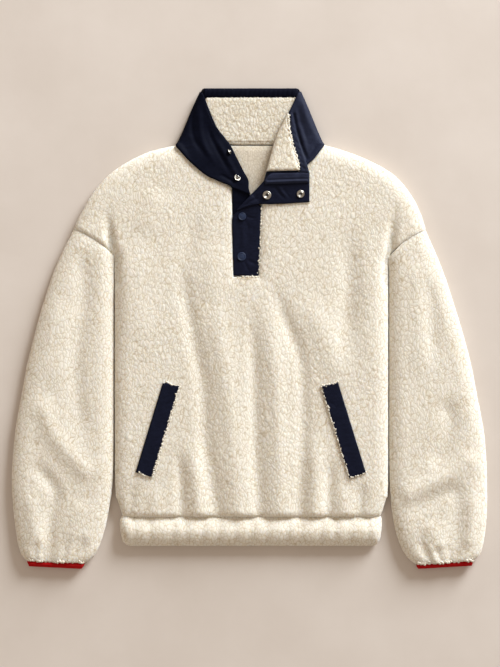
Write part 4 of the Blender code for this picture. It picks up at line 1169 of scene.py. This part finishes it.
def sherpa_material(name, gap_shade, middle, tip, cells, relief, glow=0.6):
    """Cream pile: rounded curls with narrow darker gaps between them, and fibres too small to model. The
    darker gaps and low pile are painted shade.
    """
    material, tree, shader = new_material(
        name,
        0.9,
        Sheen_Weight=0.2,
        Sheen_Roughness=0.6,
        Specular_IOR_Level=0.2,
        Subsurface_Weight=glow,
        Subsurface_Radius=(1.0, 0.85, 0.65),
        Subsurface_Scale=0.007,
    )
    white = (1.0, 1.0, 1.0)
    height = node(tree, "ShaderNodeAttribute", attribute_name="pile").outputs["Fac"]
    tone = node(tree, "ShaderNodeAttribute", attribute_name="tone").outputs["Fac"]
    place = object_place(tree)
    sway = node(tree, "ShaderNodeTexNoise", [("Vector", place)], Scale=26.0, Detail=4.0).outputs["Color"]
    moved = node(tree, "ShaderNodeVectorMath", [(0, sway), (2, place)], operation="MULTIPLY_ADD")
    moved.inputs[1].default_value = (0.026, 0.026, 0.026)
    streams = scaled(tree, moved.outputs["Vector"], (1.3, 0.74, 1.0))
    curl = node(tree, "ShaderNodeTexVoronoi", feature="DISTANCE_TO_EDGE")
    curl.inputs["Scale"].default_value = cells
    tree.links.new(streams, curl.inputs["Vector"])
    # Painted shade: the narrow gaps between the curls and the low parts of the pile are darker and warmer.
    gap = ranged(tree, curl.outputs["Distance"], interpolation_type="SMOOTHSTEP", From_Max=0.12)
    dome = ranged(tree, curl.outputs["Distance"], interpolation_type="SMOOTHSTEP", From_Max=0.5)
    fibres = noise(tree, 1300.0, 3.0, 0.6)
    shade = weighted(tree, (gap, 0.66), (height, 0.26), (fibres, 0.08))
    colour = ramp(tree, shade, [(0.05, gap_shade), (0.4, middle), (0.8, tip)])
    colour = multiplied(tree, colour, ramp(tree, tone, [(0.0, (0.985, 0.98, 0.97)), (1.0, white)]))
    cloudy = ramp(tree, noise(tree, 14.0, 2.0), [(0.3, (0.975, 0.968, 0.955)), (0.7, white)])
    tree.links.new(multiplied(tree, colour, cloudy), shader.inputs["Base Color"])
    tree.links.new(ranged(tree, fibres, To_Min=0.85, To_Max=1.0), shader.inputs["Roughness"])
    fine = bump(tree, fibres, 0.2, 0.0004)
    tree.links.new(bump(tree, dome, 1.0, relief, fine), shader.inputs["Normal"])
    return material


def woven_material(name, dark, light, gloss):
    """Navy woven cloth: a fine plain weave, a slight shade from thread to thread and a soft shine."""
    sheen = {"Sheen_Weight": 0.1 * gloss, "Sheen_Roughness": 0.4}
    material, tree, shader = new_material(name, 0.6, Specular_IOR_Level=gloss, **sheen)
    place = object_place(tree)
    threads = [wave(tree, place, direction, 330.0, 0.6, 40.0) for direction in ("X", "Y")]
    weave = math_node(tree, "MULTIPLY", *threads)
    slub = noise(tree, 95.0, 3.0, 0.6, (1.0, 3.0, 1.0))
    shade = weighted(tree, (weave, 0.4), (slub, 0.6))
    tree.links.new(ramp(tree, shade, [(0.2, dark), (0.75, light)]), shader.inputs["Base Color"])
    tree.links.new(ranged(tree, slub, To_Min=0.5, To_Max=0.72), shader.inputs["Roughness"])
    crumple = bump(tree, noise(tree, 45.0, 3.0, 0.55), 0.35, 0.0022)
    tree.links.new(bump(tree, weave, 0.4, 0.00025, crumple), shader.inputs["Normal"])
    return material


def knit_material(name, dark, light):
    """Red knitted binding with ribs along the sleeve."""
    material, tree, shader = new_material(name, 0.8, Specular_IOR_Level=0.1)
    ribs = wave(tree, object_place(tree), "X", 150.0, 0.8, 30.0)
    shade = weighted(tree, (ribs, 0.6), (noise(tree, 700.0, 3.0, 0.6), 0.4))
    tree.links.new(ramp(tree, shade, [(0.15, dark), (0.8, light)]), shader.inputs["Base Color"])
    tree.links.new(bump(tree, shade, 0.5, 0.0006), shader.inputs["Normal"])
    return material


def metal_material(name, dark, light, metallic, low, high):
    """Worn metal or paint whose roughness goes from low to high."""
    material, tree, shader = new_material(name, 0.35, Metallic=metallic, Specular_IOR_Level=0.25)
    worn = noise(tree, 260.0, 4.0, 0.6)
    tree.links.new(ramp(tree, worn, [(0.3, dark), (0.7, light)]), shader.inputs["Base Color"])
    tree.links.new(ranged(tree, worn, To_Min=low, To_Max=high), shader.inputs["Roughness"])
    tree.links.new(bump(tree, noise(tree, 900.0, 2.0), 0.15, 0.0002), shader.inputs["Normal"])
    return material


def floor_material():
    material, tree, shader = new_material("floor_plaster", 0.85)
    cloudy = noise(tree, 5.0, 5.0, 0.55)
    plaster = ramp(tree, cloudy, [(0.3, (0.60, 0.52, 0.45)), (0.7, (0.66, 0.58, 0.51))])
    tree.links.new(plaster, shader.inputs["Base Color"])
    tree.links.new(bump(tree, noise(tree, 30.0, 4.0), 0.08, 0.002), shader.inputs["Normal"])
    return material


# Fleece: the colours of the gaps, the curls and their tips, the curls to the metre and their relief. The
# gaps' colour is painted shade, and the tuft, shaded and inside copies are the same fleece painted darker
# as painted shade.
SHERPA_LOOKS = [
    ("sherpa_pile", (0.515, 0.42, 0.285), (0.725, 0.655, 0.535), (0.785, 0.735, 0.642), 150.0, 0.0002),
    ("sherpa_tuft_painted_shade", (0.50, 0.40, 0.27), (0.70, 0.625, 0.50), (0.755, 0.695, 0.59), 150.0, 0.0002, 0.0),
    ("sherpa_painted_shade", (0.43, 0.34, 0.225), (0.655, 0.58, 0.46), (0.72, 0.665, 0.562), 150.0, 0.00027),
    ("sherpa_inside_painted_shade", (0.50, 0.41, 0.29), (0.61, 0.53, 0.415), (0.68, 0.61, 0.50), 190.0, 0.0002),
]
# The same navy cloth in three brightnesses, painted light and shade: the darkest for cloth that faces away
# from the light, a half-lit one, and a lit one for cloth that faces the light; then the thread.
WOVEN_LOOKS = [
    ("navy_woven", (0.0014, 0.0017, 0.005), (0.0042, 0.0052, 0.0135), 0.035),
    ("navy_woven_half_lit", (0.0035, 0.0042, 0.011), (0.0095, 0.0115, 0.027), 0.06),
    ("navy_woven_lit", (0.006, 0.0075, 0.019), (0.017, 0.021, 0.046), 0.14),
    ("navy_thread", (0.012, 0.014, 0.030), (0.030, 0.034, 0.060), 0.16),
]
METAL_LOOKS = [
    ("snap_cap_navy", (0.010, 0.017, 0.042), (0.018, 0.029, 0.066), 0.0, 0.35, 0.55),
    ("snap_silver", (0.34, 0.31, 0.265), (0.58, 0.54, 0.47), 1.0, 0.22, 0.42),
    ("snap_painted_shade", (0.035, 0.032, 0.028), (0.09, 0.08, 0.07), 1.0, 0.4, 0.6),
]
SHERPA, TUFT, SHERPA_SHADED, SHERPA_INSIDE_SHADED = [sherpa_material(*look) for look in SHERPA_LOOKS]
NAVY, NAVY_HALF_LIT, NAVY_LIT, THREAD = [woven_material(*look) for look in WOVEN_LOOKS]
RED = knit_material("red_binding", (0.16, 0.001, 0.002), (0.62, 0.008, 0.010))
CAP, SILVER, SNAP_PAINTED_SHADE = [metal_material(*look) for look in METAL_LOOKS]


# The garment's pieces


def place(thing, slot, *nodes):
    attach(thing, "root")
    if nodes:
        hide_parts(*nodes)
    return thing


def body_loop(with_neck):
    up_right = np.vstack([as_path(RIGHT_SIDE), as_path(RIGHT_ARMHOLE)[1:], as_path(RIGHT_SHOULDER)[1:]])
    down_left = np.vstack([as_path(LEFT_SIDE), as_path(LEFT_ARMHOLE)[1:], as_path(LEFT_SHOULDER)[1:]])[::-1]
    if not with_neck:
        return np.vstack([up_right, down_left])
    return np.vstack([up_right, as_path(NECK_RIGHT)[::-1], as_path(NECK_LEFT), down_left])


def sherpa_piece(name, mesh, pile, full, material, node_name):
    grown, height, tone = grow_pile(mesh, pile, full)
    grown.points[:, 2] = np.maximum(grown.points[:, 2], 0.0)
    return place(add_object(name, grown, material, height, tone), "sherpa_pile", node_name)


def woven_piece(name, table, material, node_name, rests_on, wall, count, columns, **cloth):
    """A navy piece with count points along its edges and columns across."""
    thing = add_object(name, ruled_cloth(table, wall, count, columns, **cloth), material)
    place(thing, "navy_woven", node_name)


def build_body():
    loop = body_loop(True)
    mesh, top = panel(loop, FINE, COARSE, front_heights)
    front = sherpa_piece("front_pile", mesh, BODY_PILE, top, SHERPA, "front_panel")

    whole = body_loop(False)
    top_spacing, low_spacing, inner_pile = 3.0, 3.4, 0.3
    mesh, top = panel(whole, top_spacing, low_spacing, back_heights)
    full = np.where(top > 0.5, inner_pile, 1.0)
    pile = BODY_PILE._replace(size=6.0, seed=71)
    back = sherpa_piece("back_pile", mesh, pile, full, SHERPA, "back_panel")
    # The top, the inside of the back seen through the neck, takes the darker inside copy of the fleece:
    # painted shade.
    back.data.materials.append(SHERPA_INSIDE_SHADED)
    inner_count = int(top.sum())
    for polygon in back.data.polygons:
        polygon.material_index = int(max(polygon.vertices) < inner_count)


def build_sleeves():
    sleeves = (("left", LEFT_SLEEVE, LEFT_SLEEVE_FOLDS), ("right", RIGHT_SLEEVE, RIGHT_SLEEVE_FOLDS))
    for side, rows, folds in sleeves:
        mesh, full = sleeve_piece(rows, folds)
        thing = sherpa_piece(f"sleeve_{side}_pile", mesh, SLEEVE_PILE, full, SHERPA, f"sleeve_{side}")


def build_hem():
    mesh, full = hem_piece()
    hem = sherpa_piece("hem_pile", mesh, BODY_PILE._replace(size=4.8, seed=93), full, SHERPA, "hem_band")


def build_cuffs():
    for side, rows in (("left", LEFT_CUFF), ("right", RIGHT_CUFF)):
        thing = add_object(f"cuff_{side}_binding", cuff_piece(rows)[0], RED)
        place(thing, "red_binding", f"cuff_binding_{side}")


def build_collar():
    mesh, top = panel(LINING, 1.6, COARSE, lining_heights)
    lining = sherpa_piece("lining_pile", mesh, COLLAR_PILE, top, SHERPA_SHADED, "collar_back_lining")
    woven_piece("collar_outside", COLLAR_BACK, NAVY, "collar_back", [], 2.3, 40, 90)
    pressed = {"edge": 0.3, "creases": TOP_CREASES, "wrinkle": 0.2, "seed": 3}
    facing = ("collar_top_band", COLLAR_FACING, NAVY, "collar_top_facing", ["collar_outside"])
    woven_piece(*facing, 7.6, 20, 160, **pressed)

    below = ("front_panel", "collar_back_lining", "collar_top_facing")
    leaves = [
        ("collar_left", LEAF_LEFT, NAVY, "collar_leaf_left", 110, LEFT_CREASES, 5),
        ("collar_right", LEAF_RIGHT, NAVY_LIT, "collar_leaf_right", 100, RIGHT_CREASES, 7),
    ]
    for name, table, material, node_name, count, creases, seed in leaves:
        pressed = {"rest": below, "creases": creases, "wrinkle": 0.35, "seed": seed}
        rests_on = ["lining_pile", "front_pile"]
        woven_piece(name, table, material, node_name, rests_on, 3.4, count, 56, **pressed)

    below = ("collar_leaf_right", "front_panel")
    count, columns = 62, 34
    mesh = ruled_cloth(LAPEL, 7.4, count, columns, rest=below, edge=0.5)
    full = first_full(mesh.points, count * columns)
    pile = COLLAR_PILE._replace(seed=57)
    lapel = sherpa_piece("lapel_pile", mesh, pile, full, SHERPA_SHADED, "collar_lapel")
    pressed = {"rest": below, "edge": 0.5, "creases": STRIP_CREASES, "wrinkle": 0.25, "seed": 9}
    facing = ("lapel_band", LAPEL_FACING, NAVY_LIT, "lapel_facing", ["collar_right"])
    woven_piece(*facing, 4.6, 90, 22, **pressed)


def build_placket():
    below_flap = ("front_panel", "collar_leaf_right", "placket_overlap", "placket_underlap")
    below_flap += ("collar_leaf_left",)
    pieces = [
        ("underlap_band", UNDERLAP, NAVY, "placket_underlap", "back_pile", CLOTH, 70, 24),
        ("overlap_band", OVERLAP, NAVY_HALF_LIT, "placket_overlap", "underlap_band", 3.0, 110, 40),
        ("flap_turned", FLAP, NAVY_HALF_LIT, "placket_flap", "front_pile", CLOTH, 110, 44),
        ("flap_top_band", FLAP_BAND, NAVY_LIT, "flap_band", "flap_turned", 1.7, 90, 22),
        ("welt_left", WELT_LEFT, NAVY_HALF_LIT, "pocket_welt_left", "front_pile", CLOTH, 110, 24),
        ("welt_right", WELT_RIGHT, NAVY_HALF_LIT, "pocket_welt_right", "front_pile", CLOTH, 110, 24),
    ]
    rests = [(), (), below_flap, ("placket_flap",), ("front_panel",), ("front_panel",)]
    creases = [(), OVERLAP_CREASES, FLAP_CREASES, BAND_CREASES, WELT_CREASES, WELT_CREASES]
    for number, (name, table, material, node_name, rests_on, *sizes) in enumerate(pieces):
        pressed = {"rest": rests[number], "creases": creases[number], "wrinkle": 0.25, "seed": 20 + number}
        woven_piece(name, table, material, node_name, [rests_on], *sizes, **pressed)


def build_snaps():
    kinds = {
        "cap": (CAP_PROFILE, CAP, -1.0, "snap_cap_navy"),
        "socket": (SOCKET_PROFILE, SILVER, 2.8, "snap_silver"),
        "stud": (STUD_PROFILE, SILVER, 2.2, "snap_silver"),
    }
    snaps = [
        ("cap_upper", (-12.0, 190.0), 0.9, (0.0, 0.0), "placket_overlap"),
        ("cap_lower", (-13.0, 122.0), 1.0, (0.0, 0.0), "placket_overlap"),
        ("socket_left", (30.0, 226.0), 1.0, (0.0, 0.0), "placket_flap"),
        ("socket_right", (87.0, 228.0), 0.9, (0.08, 0.0), "placket_flap"),
        ("stud_lower", (-20.0, 256.0), 1.0, (0.35, 0.25), "collar_leaf_left"),
        ("stud_upper", (-33.4, 300.0), 0.85, (2.6, 1.2), "collar_leaf_left"),
    ]
    for name, (x, y), scale, tilt, under in snaps:
        profile, material, painted_shade_radius, slot = kinds[name.split("_")[0]]
        z = rests(surface_of(under), x, y, profile[0][0] * scale)
        thing = turned(name, profile, (x, y, z), scale, tilt, material, painted_shade_radius)
        place(thing, slot, f"snap_{name}")


def edge_path(table, side, inset=0.0):
    """One long edge of a ruled piece, moved into the piece by the inset."""
    rows = resample(table, 3 * len(table))
    start, end = (rows[:, 0:2], rows[:, 2:4]) if side == "a" else (rows[:, 2:4], rows[:, 0:2])
    way = end - start
    return start + way / np.hypot(way[:, 0], way[:, 1])[:, None] * inset


def build_tufts():
    """Each row has its spacing, size, scatter, lift, seed and number of rows."""
    welt, cuff, placket = (2.5, 1.5, 0.9, -0.4), (3.1, 2.3, 1.1, -1.5), ("placket_overlap", "front_panel")
    lining, lapel = ("collar_top_facing", "collar_back_lining"), ("collar_lapel", "lapel_facing")
    welts = {side: (f"pocket_welt_{side}", "front_panel") for side in ("left", "right")}
    tuft_row("tufts_welt_left", edge_path(WELT_LEFT, "b"), welts["left"], *welt, 201, 2)
    tuft_row("tufts_welt_right", edge_path(WELT_RIGHT, "a"), welts["right"], 2.5, 1.4, 0.9, -0.5, 202, 2)
    for number, (side, table) in enumerate((("left", WELT_LEFT), ("right", WELT_RIGHT))):
        for end, row in (("top", table[0]), ("bottom", table[-1])):
            name = f"tufts_pocket_welt_{side}_{end}"
            tuft_row(name, [row[:2], row[2:4]], welts[side], *welt, 210 + number)
    placket_side = [(16.4, 90.0), (18.6, 150.0), (20.6, 208.0)]
    tuft_row("tufts_placket_side", placket_side, placket, 2.3, 1.35, 0.9, -0.35, 203)
    tuft_row("tufts_placket_foot", [(-27.0, 89.4), (17.0, 87.4)], placket, 2.8, 1.6, 1.0, -0.6, 204, 2)
    tuft_row("tufts_lining_top", [(-74.0, 392.4), (78.0, 392.4)], lining, 2.5, 1.7, 0.9, -0.6, 205, 2)
    tuft_row("tufts_lapel", edge_path(LAPEL, "b"), lapel, *welt, 206, 2)
    cuffs = {"left": [(-281.0, -397.2), (-378.0, -393.2)], "right": [(285.0, -399.8), (380.0, -393.2)]}
    for number, (side, path) in enumerate(cuffs.items()):
        under = (f"sleeve_{side}", f"cuff_binding_{side}")
        tuft_row(f"tufts_cuff_{side}", path, under, *cuff, 207 + number, 2)


def build_stitches():
    flap = [[(28.0, 249.0), (60.0, 250.4), (100.0, 251.4)], [(30.0, 257.0), (60.0, 259.0), (99.0, 260.0)]]
    rows = [
        ("placket", [[(-18.6, 93.0), (-19.4, 150.0), (-20.2, 184.0)]], "placket_overlap"),
        ("flap", flap, "flap_band"),
        ("leaf_left", [edge_path(LEAF_LEFT, "b", 4.5)[3:-3]], "collar_leaf_left"),
        ("leaf_right", [edge_path(LEAF_RIGHT, "a", 4.5)[9:-2]], "collar_leaf_right"),
    ]
    for side, table in (("left", WELT_LEFT), ("right", WELT_RIGHT)):
        rows.append((f"welt_{side}", [edge_path(table, edge, 2.6) for edge in "ab"], f"pocket_welt_{side}"))
    for name, paths, under in rows:
        stitch_row(f"stitches_{name}", paths, (under,))


# Floor, light and camera


def linked(name, data, place_m):
    thing = bpy.data.objects.new(name, data)
    bpy.context.scene.collection.objects.link(thing)
    thing.location = place_m
    return thing


def add_light(name, place_m, size_m, watts, colour):
    data = bpy.data.lights.new(name, "AREA")
    data.shape = "DISK"
    data.size = size_m
    data.energy = watts
    data.color = colour
    thing = linked(name, data, place_m)
    to_garment = Vector((0.0, 0.0, 0.0)) - thing.location
    thing.rotation_euler = to_garment.to_track_quat("-Z", "Y").to_euler()


def build_stage():
    half_m, drop_m = 4.0, 0.0004
    corners = [(x * half_m, y * half_m, 0.0) for x, y in ((-1, -1), (1, -1), (1, 1), (-1, 1))]
    floor = bpy.data.meshes.new("floor")
    floor.from_pydata(corners, [], [[0, 1, 2, 3]])
    floor.materials.append(floor_material())
    linked("floor", floor, (0.0, 0.0, -drop_m))

    add_light("key", (4.3, 6.05, 2.3), 4.0, 1460.0, (0.86, 0.93, 1.0))
    add_light("fill", (-1.6, -0.6, 2.6), 2.4, 7.0, (1.0, 0.94, 0.88))
    world = bpy.data.worlds.new("studio")
    world.use_nodes = True
    set_inputs(world.node_tree.nodes["Background"], {"Color": (1.0, 0.865, 0.735, 1.0), "Strength": 0.47})
    bpy.context.scene.world = world
    bpy.context.scene.view_settings.view_transform = "Standard"


def build_camera():
    """Straight above, so that the surface of the fleece has the photograph's scale."""
    high_m, fleece_m, sensor = 3.2, 0.015, 24.0
    lens = bpy.data.cameras.new("camera")
    lens.sensor_fit = "VERTICAL"
    lens.sensor_height = sensor
    lens.lens = sensor * (high_m - fleece_m) / (PHOTO_TALL_PX * PX * MM)
    x = (MIDDLE_PX[0] - ORIGIN_PX[0]) * PX * MM
    y = (ORIGIN_PX[1] - MIDDLE_PX[1]) * PX * MM
    bpy.context.scene.camera = linked("camera", lens, (x, y, high_m))


build_body()
build_sleeves()
build_hem()
build_cuffs()
build_collar()
build_placket()
build_snaps()
build_tufts()
build_stitches()
build_stage()
build_camera()
